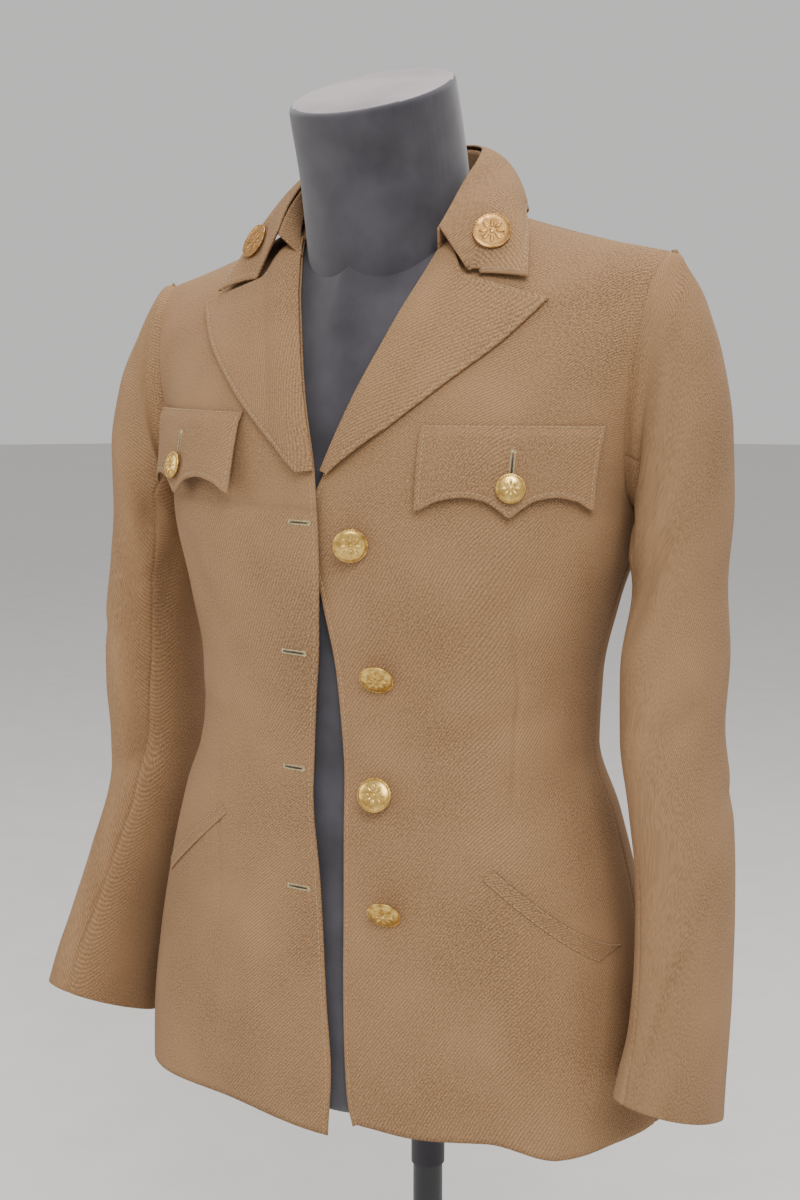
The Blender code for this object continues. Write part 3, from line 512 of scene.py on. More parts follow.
def subdivided(rows: Sequence[float], parts: int) -> Array:
    """The rows with evenly spaced ones added between them."""
    fine = [np.linspace(a, b, parts, endpoint=False) for a, b in zip(rows, rows[1:])]
    return np.append(np.concatenate(fine), rows[-1])


def edged(count: int, length: float) -> Array:
    """Shares from 0 to 1, closer at both ends so that an edge can be rounded.

    Args:
        count: How many even steps there are between the ends.
        length: The real length, in metres.

    Returns:
        The shares.
    """
    near = np.array([0.0, 0.0003, 0.0007, 0.0013, 0.0021, 0.0032]) / length
    even = np.linspace(near[-1], 1 - near[-1], count)
    return np.concatenate([near[:-1], even, 1 - near[-2::-1]])


def soft_noise(points: Array, size: float, seed: float) -> Array:
    """Smooth noise from about -1 to 1 at each point.

    Args:
        points: The points, in metres.
        size: The size of one swell.
        seed: A shift that gives each piece its own pattern.

    Returns:
        One value for each point.
    """
    flat = points.reshape(-1, 3) / size + seed
    values = [noise.noise(Vector(p)) for p in flat]
    return np.array(values).reshape(points.shape[:-1])


@dataclass(frozen=True)
class Crease:
    """A soft trough or ridge that runs along a line of points on the cloth."""

    line: tuple[tuple[float, ...], ...]
    width: float
    depth: float
    ends: float = 0.6

    def lift(self, points: Array, path: Array) -> Array:
        """How far the crease moves each point of the cloth.

        Args:
            points: The cloth's points.
            path: The crease's line as points in space.

        Returns:
            The lift at each point, along the cloth's normal.
        """
        steps = np.linalg.norm(np.diff(path, axis=0), axis=1)
        total = steps.sum()
        best = np.full(points.shape[:-1], 1e9)
        place = np.zeros(points.shape[:-1])
        run = 0.0
        for start, end, step in zip(path, path[1:], steps):
            along = (end - start) / max(step, 1e-9)
            t = np.clip((points - start) @ along, 0, step)
            gap = np.linalg.norm(points - start - t[..., None] * along, axis=-1)
            closer = gap < best
            best = np.where(closer, gap, best)
            place = np.where(closer, (run + t) / total, place)
            run += step
        taper = np.clip(np.sin(np.pi * np.clip(place, 0, 1)), 0, 1) ** self.ends
        return self.depth * taper * np.exp(-((best / self.width) ** 2))


class Cloth:
    """A grid of cloth: its outer surface, its normals and its size in metres."""

    def __init__(self, points: Array) -> None:
        """Keeps the points and measures the grid.

        Args:
            points: One row for each step along, one column for each step across.
        """
        self.base = points
        self.points = points
        self.measure()

    def measure(self) -> None:
        """Works out the normals and the distances along the rows and the columns."""
        across = np.gradient(self.points, axis=1)
        along = np.gradient(self.points, axis=0)
        self.normals = unit(np.cross(across, along))
        self.rows = self.run(1)
        self.columns = self.run(0)

    def run(self, axis: int) -> Array:
        """The distance from the start of each row (1) or column (0) to each point."""
        steps = np.linalg.norm(np.diff(self.points, axis=axis), axis=-1)
        lead = [(1, 0), (0, 0)] if axis == 0 else [(0, 0), (1, 0)]
        return np.pad(np.cumsum(steps, axis=axis), lead)

    def raise_by(self, lift: Array) -> None:
        """Moves the surface out along its normals."""
        self.points = self.points + self.normals * lift[..., None]

    def from_edges(self, edges: str) -> Array:
        """The distance to the nearest of the named edges.

        Args:
            edges: Any of l, r, b and t, for the first and last column and row.

        Returns:
            The distances.
        """
        gaps = {
            "l": self.rows,
            "r": self.rows[:, -1:] - self.rows,
            "b": self.columns,
            "t": self.columns[-1:] - self.columns,
        }
        return np.min([gaps[edge] for edge in edges], axis=0)

    def round_edges(self, edges: str, radius: float) -> None:
        """Turns the named edges down, as where a seam is turned and pressed."""
        near = np.clip(self.from_edges(edges) / radius, 0, 1)
        self.raise_by(-radius * (1 - np.sqrt(1 - (1 - near) ** 2)))

    def stitch_dip(self, edges: str, inset: float) -> None:
        """Presses a shallow channel beside the named edges, where the topstitching pulls."""
        gap = self.from_edges(edges) - inset
        self.raise_by(-STITCH_DIP * np.exp(-((gap / 0.0011) ** 2)))

    def inset_path(self, edge: str, inset: float, trim: Pair = (0.0, 0.0)) -> tuple[Array, Array]:
        """A line at a set distance inside one edge.

        Args:
            edge: One of l, r, b and t.
            inset: The distance from the edge.
            trim: How much to leave off the line's two ends.

        Returns:
            The line's points and the normals there.
        """
        runs = self.rows if edge in "lr" else self.columns.T
        points = self.points if edge in "lr" else self.points.transpose(1, 0, 2)
        normals = self.normals if edge in "lr" else self.normals.transpose(1, 0, 2)
        found, facing = [], []
        for run, line, face in zip(runs, points, normals):
            at = inset if edge in "lb" else run[-1] - inset
            found.append([np.interp(at, run, line[:, k]) for k in range(3)])
            facing.append([np.interp(at, run, face[:, k]) for k in range(3)])
        path, facing = np.array(found), np.array(facing)
        length = np.append(0, np.cumsum(np.linalg.norm(np.diff(path, axis=0), axis=1)))
        keep = (length >= trim[0]) & (length <= length[-1] - trim[1])
        return path[keep], unit(facing[keep])

    def mesh(self, name: str, grain: Array | None = None) -> bpy.types.Mesh:
        """Makes the grid's mesh, with its cloth coordinates in metres.

        Args:
            name: The mesh's name.
            grain: The cloth coordinates, if the rows and columns don't give them.

        Returns:
            The mesh, in the row frame.
        """
        tall, wide = self.points.shape[:2]
        bm = bmesh.new()
        bmesh.ops.create_grid(bm, x_segments=wide - 1, y_segments=tall - 1, size=0.5)
        mesh = bpy.data.meshes.new(name)
        bm.to_mesh(mesh)
        bm.free()
        flat = np.empty(len(mesh.vertices) * 3)
        mesh.vertices.foreach_get("co", flat)
        flat = flat.reshape(-1, 3)
        column = np.rint((flat[:, 0] + 0.5) * (wide - 1)).astype(int)
        row = np.rint((flat[:, 1] + 0.5) * (tall - 1)).astype(int)
        moved = self.points[row, column] + BODY_SHIFT
        mesh.vertices.foreach_set("co", moved.ravel())
        if grain is None:
            grain = np.stack([self.rows, np.broadcast_to(self.columns, self.rows.shape)], -1)
        corners = np.empty(len(mesh.loops), dtype=np.int32)
        mesh.loops.foreach_get("vertex_index", corners)
        layer = mesh.uv_layers.new(name="cloth")
        layer.data.foreach_set("uv", grain[row, column][corners].astype(np.float32).ravel())
        mesh.update()
        mesh.shade_smooth()
        return mesh


STITCH_DIP = 0.00045
STITCH_INSET = 0.0042

# Sleeve hollows: share of the way round, place along, half sizes and depth
FOLDS = {
    Side.LEFT: (
        (0.34, 0.185, 0.09, 0.030, 0.006),
        (0.20, 0.215, 0.10, 0.022, 0.003),
        (0.86, 0.300, 0.10, 0.030, 0.004),
    ),
    Side.RIGHT: (
        (0.33, 0.130, 0.05, 0.045, 0.009),
        (0.43, 0.200, 0.05, 0.050, 0.007),
        (0.34, 0.350, 0.07, 0.020, 0.007),
        (0.22, 0.375, 0.08, 0.018, 0.004),
        (0.86, 0.300, 0.10, 0.030, 0.004),
    ),
}
SLEEVE_ROWS = (
    (0.0, 0.008, 0.02, 0.035, 0.053, 0.073, 0.095, 0.12, 0.15, 0.18, 0.205, 0.23)
    + (0.26, 0.29, 0.32, 0.35, 0.38, 0.42, 0.46, 0.50, 0.54, SLEEVE_END)
)
ARMHOLE_FADE = 0.05


def linear(code: str) -> tuple[float, float, float, float]:
    """Turns an sRGB hex colour into Blender's linear one."""
    parts = [int(code[k : k + 2], 16) / 255 for k in (1, 3, 5)]
    return (*[p / 12.92 if p <= 0.04045 else ((p + 0.055) / 1.055) ** 2.4 for p in parts], 1.0)


def add(tree: bpy.types.NodeTree, kind: str, sockets: dict, **settings: object) -> bpy.types.Node:
    """Adds a shader node.

    Args:
        tree: The material's nodes.
        kind: The node's type, without ShaderNode.
        sockets: Values or other nodes' sockets for its inputs.
        settings: The node's own settings.

    Returns:
        The node.
    """
    made = tree.nodes.new("ShaderNode" + kind)
    for name, value in settings.items():
        setattr(made, name, value)
    for name, value in sockets.items():
        if isinstance(value, bpy.types.NodeSocket):
            tree.links.new(value, made.inputs[name])
        else:
            made.inputs[name].default_value = value
    return made


def mixed(tree: bpy.types.NodeTree, share: object, first: object, second: object) -> object:
    """The socket of a colour that goes from the first to the second by the share."""
    node = add(tree, "Mix", {0: share, 6: first, 7: second}, data_type="RGBA")
    return node.outputs[2]


def ranged(tree: bpy.types.NodeTree, value: object, ends: Sequence[float]) -> object:
    """The socket of a value that is moved from one range to another."""
    names = ("Value", "From Min", "From Max", "To Min", "To Max")
    return add(tree, "MapRange", dict(zip(names, (value, *ends)))).outputs[0]


def surface(name: str, sockets: dict) -> tuple[bpy.types.Material, bpy.types.NodeTree, object]:
    """Starts a material and sets what is even all over it.

    Args:
        name: The material's name.
        sockets: The shader's own values.

    Returns:
        The material, its nodes and its shader.
    """
    material = bpy.data.materials.new(name)
    material.use_nodes = True
    shader = material.node_tree.nodes["Principled BSDF"]
    for key, value in sockets.items():
        shader.inputs[key].default_value = value
    return material, material.node_tree, shader


@dataclass(frozen=True)
class WoolTwill:
    """Milled and pressed wool twill. It gives a matt face, faint slanting ribs and short nap."""

    deep: str = "#46321F"
    light: str = "#B08A64"
    lint: str = "#B9A48E"
    # The real rib is near 1 mm, which a render this size can't show, so it is drawn at 1.9 mm
    rib: float = 0.0019

    def make(self) -> bpy.types.Material:
        """Builds the cloth on the piece's own cloth coordinates, in metres."""
        even = {"Sheen Weight": 0.10, "Sheen Roughness": 0.45, "Specular IOR Level": 0.2}
        material, tree, shader = surface("brown wool twill, milled and pressed", even)
        shader.inputs["Sheen Tint"].default_value = linear("#D9BFA4")
        cloth = add(tree, "UVMap", {}, uv_map="cloth").outputs[0]
        slant = {"Vector": cloth, "Rotation": (0, 0, math.radians(38))}
        turned = add(tree, "Mapping", slant).outputs[0]
        waves = {"Vector": turned, "Scale": 0.314 / self.rib, "Distortion": 0.7, "Detail Scale": 2}
        ribs = add(tree, "TexWave", waves).outputs["Fac"]
        slub = add(tree, "TexNoise", {"Vector": cloth, "Scale": 820, "Detail": 3}).outputs[0]
        cloud = add(tree, "TexNoise", {"Vector": cloth, "Scale": 11, "Detail": 4}).outputs[0]
        fibre = add(tree, "TexVoronoi", {"Vector": cloth, "Scale": 21}).outputs["Distance"]
        shade = mixed(tree, ranged(tree, cloud, (0.3, 0.7, 0.25, 0.75)), linear(self.deep), linear(self.light))
        fleck = mixed(tree, ranged(tree, slub, (0.40, 0.60, 0.05, 0.90)), shade, linear(self.light))
        grain = mixed(tree, ranged(tree, ribs, (0, 1, 0.34, 0.0)), fleck, linear(self.deep))
        specks = mixed(tree, ranged(tree, fibre, (0.010, 0.022, 0.55, 0.0)), grain, linear(self.lint))
        tree.links.new(specks, shader.inputs["Base Color"])
        tree.links.new(ranged(tree, slub, (0.3, 0.7, 0.84, 0.98)), shader.inputs["Roughness"])
        height = add(tree, "Math", {0: ribs, 1: slub}, operation="ADD").outputs[0]
        bump = add(tree, "Bump", {"Height": height, "Strength": 0.55, "Distance": 0.0003})
        tree.links.new(bump.outputs[0], shader.inputs["Normal"])
        return material


@dataclass(frozen=True)
class Thread:
    """Spun sewing thread. It gives a paler line that catches a little light on its twist. The same build also makes the
    near-black painted shade in the buttonhole slits.
    """

    name: str
    pale: str
    deep: str

    def make(self) -> bpy.types.Material:
        """Builds the thread, or the slits' painted shade, on object coordinates."""
        material, tree, shader = surface(self.name, {"Roughness": 0.7, "Sheen Weight": 0.2})
        place = add(tree, "TexCoord", {}).outputs["Object"]
        twist = add(tree, "TexNoise", {"Vector": place, "Scale": 900, "Detail": 2}).outputs[0]
        tint = mixed(tree, ranged(tree, twist, (0.35, 0.65, 0, 1)), linear(self.deep), linear(self.pale))
        tree.links.new(tint, shader.inputs["Base Color"])
        bump = add(tree, "Bump", {"Height": twist, "Strength": 0.5, "Distance": 0.0002})
        tree.links.new(bump.outputs[0], shader.inputs["Normal"])
        return material


@dataclass(frozen=True)
class Brass:
    """Struck brass, gilt or worn. It gives bright metal with duller, browner patches of tarnish."""

    name: str
    bright: str
    dull: str
    gloss: Pair

    def make(self) -> bpy.types.Material:
        """Builds the metal with a patchy tarnish."""
        material, tree, shader = surface(self.name, {"Metallic": 1.0})
        place = add(tree, "TexCoord", {}).outputs["Object"]
        stain = add(tree, "TexNoise", {"Vector": place, "Scale": 260, "Detail": 5}).outputs[0]
        tint = mixed(tree, ranged(tree, stain, (0.42, 0.68, 0, 0.8)), linear(self.bright), linear(self.dull))
        tree.links.new(tint, shader.inputs["Base Color"])
        tree.links.new(ranged(tree, stain, (0.3, 0.7, *self.gloss)), shader.inputs["Roughness"])
        fine = add(tree, "TexNoise", {"Vector": place, "Scale": 1400, "Detail": 2}).outputs[0]
        bump = add(tree, "Bump", {"Height": fine, "Strength": 0.25, "Distance": 0.0002})
        tree.links.new(bump.outputs[0], shader.inputs["Normal"])
        return material


@dataclass(frozen=True)
class Jersey:
    """Fine knitted cotton stretched on a form. It gives a soft dull black with faint wales."""

    deep: str = "#2E2C31"
    light: str = "#454248"

    def make(self) -> bpy.types.Material:
        """Builds the knit on object coordinates."""
        even = {"Roughness": 0.88, "Sheen Weight": 0.30, "Sheen Roughness": 0.5}
        material, tree, shader = surface("black cotton jersey, stretched", even)
        place = add(tree, "TexCoord", {}).outputs["Object"]
        knit = add(tree, "TexWave", {"Vector": place, "Scale": 190, "Distortion": 0.5}).outputs["Fac"]
        cloud = add(tree, "TexNoise", {"Vector": place, "Scale": 30, "Detail": 5}).outputs[0]
        tint = mixed(tree, ranged(tree, cloud, (0.3, 0.7, 0, 1)), linear(self.deep), linear(self.light))
        tree.links.new(tint, shader.inputs["Base Color"])
        bump = add(tree, "Bump", {"Height": knit, "Strength": 0.2, "Distance": 0.0002})
        tree.links.new(bump.outputs[0], shader.inputs["Normal"])
        return material


@dataclass(frozen=True)
class Painted:
    """Sprayed paint. It gives an even colour with the slight ripple of the spray."""

    name: str
    colour: str
    worn: str
    roughness: float

    def make(self) -> bpy.types.Material:
        """Builds the paint on object coordinates."""
        material, tree, shader = surface(self.name, {"Roughness": self.roughness})
        place = add(tree, "TexCoord", {}).outputs["Object"]
        ripple = add(tree, "TexNoise", {"Vector": place, "Scale": 350, "Detail": 2}).outputs[0]
        wear = add(tree, "TexNoise", {"Vector": place, "Scale": 14, "Detail": 5}).outputs[0]
        tint = mixed(tree, ranged(tree, wear, (0.4, 0.7, 0, 1)), linear(self.colour), linear(self.worn))
        tree.links.new(tint, shader.inputs["Base Color"])
        bump = add(tree, "Bump", {"Height": ripple, "Strength": 0.12, "Distance": 0.0002})
        tree.links.new(bump.outputs[0], shader.inputs["Normal"])
        return material


@dataclass(frozen=True)
class Finishes:
    """The materials that the pieces share."""

    wool: bpy.types.Material
    seam_thread: bpy.types.Material
    hole_thread: bpy.types.Material
    # The slit material is painted shade: a near-black colour for the gap in each buttonhole.
    slit: bpy.types.Material
    gilt: bpy.types.Material
    worn: bpy.types.Material
    jersey: bpy.types.Material
    cap: bpy.types.Material
    steel: bpy.types.Material

    @classmethod
    def build(cls) -> Finishes:
        """Makes each material once."""
        return cls(
            wool=WoolTwill().make(),
            seam_thread=Thread("tan cotton thread, topstitched", "#B89E79", "#937A57").make(),
            hole_thread=Thread("cream cotton twist, buttonholed", "#C6B88C", "#96875C").make(),
            # Painted shade: near-black colours that stand for the shade inside each buttonhole slit.
            slit=Thread("shaded cut edge of the wool", "#2E231C", "#1C1511").make(),
            gilt=Brass("gilt brass, struck", "#E8C372", "#A87F3C", (0.22, 0.42)).make(),
            worn=Brass("brass, struck and worn", "#C99A5C", "#8A6238", (0.30, 0.55)).make(),
            jersey=Jersey().make(),
            cap=Painted("pale card under the neck cap", "#A39A9B", "#8B8284", 0.8).make(),
            steel=Painted("dark enamel on steel", "#26262A", "#303034", 0.42).make(),
        )


def place_piece(name: str, mesh: bpy.types.Mesh, material: bpy.types.Material) -> bpy.types.Object:
    """Puts a finished mesh in the scene, riding on the one body."""
    obj = bpy.data.objects.new(name, mesh)
    bpy.context.scene.collection.objects.link(obj)
    obj.data.materials.append(material)
    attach(obj, "root")
    log.info("%s: %d faces", name, len(mesh.polygons))
    return obj


@dataclass
class Sewn:
    """How one cut piece of cloth is finished."""

    name: str
    nodes: tuple[str, ...]
    rests_on: tuple[str, ...]
    wall: float = 0.0018
    held: str = "hung"

    def finish(self, cloth: Cloth, wool: bpy.types.Material) -> bpy.types.Object:
        """Gives the cloth its wall and hides the CAD parts that it replaces.

        Args:
            cloth: The shaped grid.
            wool: The cloth's material.

        Returns:
            The piece.
        """
        cloth.measure()
        obj = place_piece(self.name, cloth.mesh(self.name), wool)
        wall = obj.modifiers.new("wall", "SOLIDIFY")
        wall.thickness = self.wall
        wall.offset = -1
        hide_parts(*self.nodes)
        list(self.rests_on)
        return obj


@dataclass
class Stitches:
    """Many stitches of one thread, gathered in one mesh. One set holds the ovals of painted shade in the buttonhole
    slits instead.
    """

    name: str
    long: float = 0.0030
    gap: float = 0.0008
    # Real thread is 0.4 mm wide and is drawn wider, so that it holds in a render this size
    wide: float = 0.0007

    def __post_init__(self) -> None:
        """Starts the mesh."""
        self.bm = bmesh.new()

    def one(self, at: Array, along: Array, facing: Array, size: Sequence[float]) -> None:
        """Adds a rounded stitch.

        Args:
            at: Its middle.
            along: Which way it runs.
            facing: The cloth's normal.
            size: Its length, width and height.
        """
        x = Vector(along).normalized()
        z = (Vector(facing) - x * x.dot(Vector(facing))).normalized()
        y = z.cross(x)
        turn = Matrix((x, y, z)).transposed().to_4x4()
        scale = Matrix.Diagonal((size[0] / 2, size[1] / 2, size[2] / 2, 1.0))
        place = Matrix.Translation(Vector(at + BODY_SHIFT)) @ turn @ scale
        bmesh.ops.create_uvsphere(self.bm, u_segments=6, v_segments=4, radius=1.0, matrix=place)

    def run(self, path: Array, facing: Array) -> None:
        """Sews a line of stitches along a path."""
        steps = np.linalg.norm(np.diff(path, axis=0), axis=1)
        length = np.append(0, np.cumsum(steps))
        for start in np.arange(0, length[-1] - self.long, self.long + self.gap):
            ends = [[np.interp(s, length, path[:, k]) for k in range(3)] for s in (start, start + self.long)]
            first, last = np.array(ends)
            face = np.array([np.interp(start, length, facing[:, k]) for k in range(3)])
            self.one((first + last) / 2 + face * 0.0001, last - first, face, (self.long, self.wide, 0.0006))

    def finish(self, material: bpy.types.Material, slot: str = "wool") -> bpy.types.Object:
        """Makes the piece."""
        mesh = bpy.data.meshes.new(self.name)
        self.bm.to_mesh(mesh)
        self.bm.free()
        mesh.shade_smooth()
        obj = place_piece(self.name, mesh, material)
        return obj


FORM_PIECE = "form_torso"


@dataclass
class DressForm:
    """The limbless jersey form with its leaning neck, on the CAD's own socket, pole and base."""

    inset: float = 0.0046
    bottom: float = 0.358
    tilt: float = 22.0
    neck: tuple = ((-0.024, 0.900, 0.0575), (-0.038, 0.985, 0.0580), (-0.0545, 1.0400, 0.0572))

    def torso(self, around: Array, up: Array) -> Array:
        """The form's surface, which goes straight across at the arms."""
        side = np.where(around >= 0, 1.0, -1.0)
        turn = np.abs(around)
        low, high = SCYE_FRONT - 2, 180 - SCYE_BACK + 2
        whole = lifted(around, up, -self.inset)
        t = ((turn - low) / (high - low))[..., None]
        flat = lifted(side * low, up, -self.inset) * (1 - t) + lifted(side * high, up, -self.inset) * t
        level = lifted(around, np.ones_like(up), -self.inset)
        level[..., 2] = flat[..., 2]
        arm = blend(level, flat, smooth((up - 1) / 0.3)[..., None])
        keep = (up <= 1) | (turn <= low) | (turn >= high)
        return np.where(keep[..., None], whole, arm)

    def closed(self, name: str, rings: Array, jersey: bpy.types.Material) -> bpy.types.Object:
        """Joins rings into a closed body.

        Args:
            name: The piece's name.
            rings: Points, one row for each ring, with the last column on the first.
            jersey: The cover.

        Returns:
            The piece.
        """
        mesh = Cloth(rings).mesh(name)
        bm = bmesh.new()
        bm.from_mesh(mesh)
        bmesh.ops.remove_doubles(bm, verts=bm.verts, dist=1e-6)
        open_edges = [edge for edge in bm.edges if edge.is_boundary]
        bmesh.ops.holes_fill(bm, edges=open_edges, sides=0)
        bmesh.ops.recalc_face_normals(bm, faces=bm.faces)
        bm.to_mesh(mesh)
        bm.free()
        return place_piece(name, mesh, jersey)

    def build(self, finishes: Finishes) -> None:
        """Makes the torso, the neck and its cap, and finishes the stand."""
        around, up = np.meshgrid(np.linspace(-180, 180, 161), np.linspace(0.03, 1.93, 96))
        rings = self.torso(around, up)
        rings[0, :, 2] = self.bottom
        rings[:, -1] = rings[:, 0]
        torso = self.closed(FORM_PIECE, rings, finishes.jersey)
        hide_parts("dress_form")
        turn = np.linspace(0, 2 * math.pi, 97)
        table = Table("y z radius", [(k, *row) for k, row in enumerate(self.neck)])
        loops = []
        rim = [(2.0, math.sin(a) * 0.004, 0.004 * (1 - math.cos(a))) for a in np.linspace(0, 1.5, 6)]
        steps = [(t, 0.0, 0.0) for t in np.linspace(0, 2, 40)] + rim[1:] + [(2.0, 0.004, 0.02), (2.0, 0.004, 0.0572)]
        for t, rise, pull in steps:
            row = table(t)
            lean = math.radians(self.tilt) * smooth(t - 1)
            radius = row.radius - pull
            x, deep = radius * np.cos(turn), radius * np.sin(turn)
            y = row.y + deep * np.cos(lean) - rise * np.sin(lean)
            loops.append(stack(x, y, row.z + deep * np.sin(lean) + rise * np.cos(lean)))
        rings = np.array(loops)
        rings[:, -1] = rings[:, 0]
        neck = self.closed("form_neck", rings, finishes.jersey)
        neck.data.materials.append(finishes.cap)
        for face in neck.data.polygons:
            face.material_index = int(face.normal.z > 0.85)
        for name, finish in (("stand_base", finishes.steel), ("stand_pole", finishes.steel)):
            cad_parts[name].data.materials.clear()
            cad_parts[name].data.materials.append(finish)
        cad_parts["stand_socket"].data.materials.clear()
        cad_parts["stand_socket"].data.materials.append(finishes.jersey)


def creased(points: Array, creases: Sequence[Crease], place: Callable[..., Array]) -> Array:
    """The lift of several creases whose lines are given in a piece's own parameters."""
    total = np.zeros(points.shape[:-1])
    for crease in creases:
        line = np.array(crease.line, dtype=float)
        total += crease.lift(points, place(line[:, 0], line[:, 1]))
    return total


@dataclass
class Front:
    """One front panel, from its free edge or roll line to the side seam and armhole."""

    side: Side
    # Lines are x and z on the front
    creases: dict = None

    def surface(self, x: Array, z: Array) -> Array:
        """The panel's own surface at this x and z, with its lap."""
        sign = self.side.value
        edge = FRONT_EDGE[self.side](z)
        fade = 1 - smooth(np.abs(x - edge.x) / LAP_WIDTH)
        return on_front(x, z, sign, edge.lift * fade)

    def points(self) -> Array:
        """The panel's grid."""
        sign = self.side.value
        up = subdivided(PANEL_ROWS, 7)
        low, high = np.full(up.shape, -25.0), np.full(up.shape, SCYE_FRONT)
        for _ in range(30):
            middle = (low + high) / 2
            point = body(sign * middle, up)
            inside = sign * point[:, 0] < sign * FRONT_EDGE[self.side](point[:, 2]).x
            low, high = np.where(inside, middle, low), np.where(inside, high, middle)
        outer = SCYE(np.maximum(up, 1.0)).front - 0.03
        share = edged(118, 0.24)
        share = share if sign > 0 else (1 - share)[::-1] * 1.0
        a = share if sign > 0 else 1 - share
        turn = blend(low[:, None], outer[:, None], a[None, :])
        turn, tall = np.broadcast_arrays(turn, up[:, None])
        point = body(sign * turn, tall)
        edge = FRONT_EDGE[self.side](point[..., 2])
        fade = 1 - smooth(np.abs(point[..., 0] - edge.x) / LAP_WIDTH)
        return lifted(sign * turn, tall, edge.lift * fade)

    def build(self, wool: bpy.types.Material, seam: Stitches) -> None:
        """Shapes, creases and edges the panel, and sews its front edge."""
        left = self.side is Side.LEFT
        cloth = Cloth(self.points())
        cloth.raise_by(creased(cloth.base, FRONT_CREASES[self.side], self.surface))
        cloth.raise_by(soft_noise(cloth.base, 0.08, self.side.value * 3.7) * 0.0007)
        inner, outer = ("l", "r") if left else ("r", "l")
        cloth.raise_by(-0.0008 * np.exp(-((cloth.from_edges(outer) / 0.0018) ** 2)))
        cloth.measure()
        cloth.round_edges(inner, 0.0011)
        cloth.stitch_dip(inner, STITCH_INSET)
        cloth.measure()
        path, facing = cloth.inset_path(inner, STITCH_INSET)
        low = path[:, 2] < 0.79
        seam.run(path[low], facing[low])
        word = self.side.word
        Sewn(f"cloth_front_{word}", (f"front_{word}",), (FORM_PIECE,)).finish(cloth, wool)


FRONT_CREASES = {
    Side.LEFT: (
        Crease(((0.126, 0.713), (0.127, 0.650), (0.125, 0.590), (0.126, 0.463)), 0.0017, -0.0017, 0.2),
        Crease(((0.150, 0.735), (0.118, 0.700), (0.088, 0.672)), 0.014, -0.0022),
        Crease(((0.145, 0.640), (0.105, 0.618), (0.060, 0.612)), 0.010, -0.0026),
        Crease(((0.148, 0.600), (0.110, 0.592), (0.075, 0.594)), 0.009, 0.0018),
        Crease(((0.150, 0.575), (0.120, 0.560), (0.095, 0.553)), 0.010, -0.0018),
        Crease(((0.075, 0.500), (0.078, 0.430), (0.074, 0.365)), 0.016, 0.0024),
        Crease(((0.150, 0.470), (0.156, 0.410), (0.152, 0.350)), 0.014, -0.0022),
        Crease(((0.030, 0.700), (0.034, 0.640), (0.032, 0.570)), 0.012, 0.0012),
    ),
    Side.RIGHT: (
        Crease(((-0.096, 0.594), (-0.090, 0.530), (-0.082, 0.457)), 0.0017, -0.0017, 0.2),
        Crease(((-0.140, 0.740), (-0.110, 0.700), (-0.078, 0.676)), 0.014, -0.0020),
        Crease(((-0.140, 0.625), (-0.100, 0.612), (-0.055, 0.616)), 0.010, -0.0024),
        Crease(((-0.142, 0.595), (-0.105, 0.588), (-0.072, 0.592)), 0.009, 0.0016),
        Crease(((-0.055, 0.520), (-0.058, 0.440), (-0.052, 0.365)), 0.015, 0.0020),
        Crease(((-0.120, 0.480), (-0.126, 0.420), (-0.122, 0.352)), 0.014, -0.0020),
    ),
}
# Lines are the angle round the body and the height share
BACK_CREASES = {
    Side.LEFT: (
        Crease(((118, 0.66), (140, 0.62), (160, 0.63)), 0.011, -0.0024),
        Crease(((112, 0.74), (135, 0.72), (150, 0.75)), 0.012, -0.0018),
        Crease(((130, 1.25), (150, 1.12), (158, 0.95)), 0.018, -0.0024),
        Crease(((150, 0.40), (152, 0.20), (150, 0.03)), 0.016, 0.0024),
    ),
    Side.RIGHT: (
        Crease(((-116, 0.64), (-138, 0.60), (-162, 0.62)), 0.011, -0.0022),
        Crease(((-114, 0.71), (-130, 0.70), (-152, 0.72)), 0.011, -0.0016),
        Crease(((-128, 1.30), (-146, 1.15), (-156, 0.97)), 0.018, -0.0022),
        Crease(((-146, 0.38), (-150, 0.20), (-149, 0.03)), 0.017, 0.0022),
    ),
}
# Lines are the share of the way round and the distance along
SLEEVE_CREASES = {
    Side.LEFT: (
        Crease(((0.16, 0.160), (0.26, 0.190), (0.36, 0.235)), 0.009, -0.0026),
        Crease(((0.05, 0.270), (0.18, 0.292), (0.30, 0.285)), 0.009, -0.0020),
        Crease(((0.40, 0.060), (0.37, 0.110), (0.36, 0.150)), 0.008, -0.0030),
        Crease(((0.80, 0.330), (0.90, 0.345), (1.00, 0.338)), 0.009, -0.0020),
        Crease(((0.10, 0.420), (0.20, 0.432), (0.28, 0.425)), 0.010, 0.0016),
    ),
    Side.RIGHT: (
        Crease(((0.42, 0.055), (0.38, 0.105), (0.33, 0.150)), 0.009, -0.0032),
        Crease(((0.22, 0.190), (0.32, 0.212), (0.42, 0.205)), 0.008, -0.0030),
        Crease(((0.12, 0.250), (0.24, 0.262), (0.34, 0.258)), 0.009, -0.0022),
        Crease(((0.80, 0.310), (0.90, 0.322), (0.98, 0.318)), 0.009, -0.0020),
        Crease(((0.18, 0.360), (0.28, 0.368), (0.38, 0.352)), 0.008, -0.0026),
    ),
}


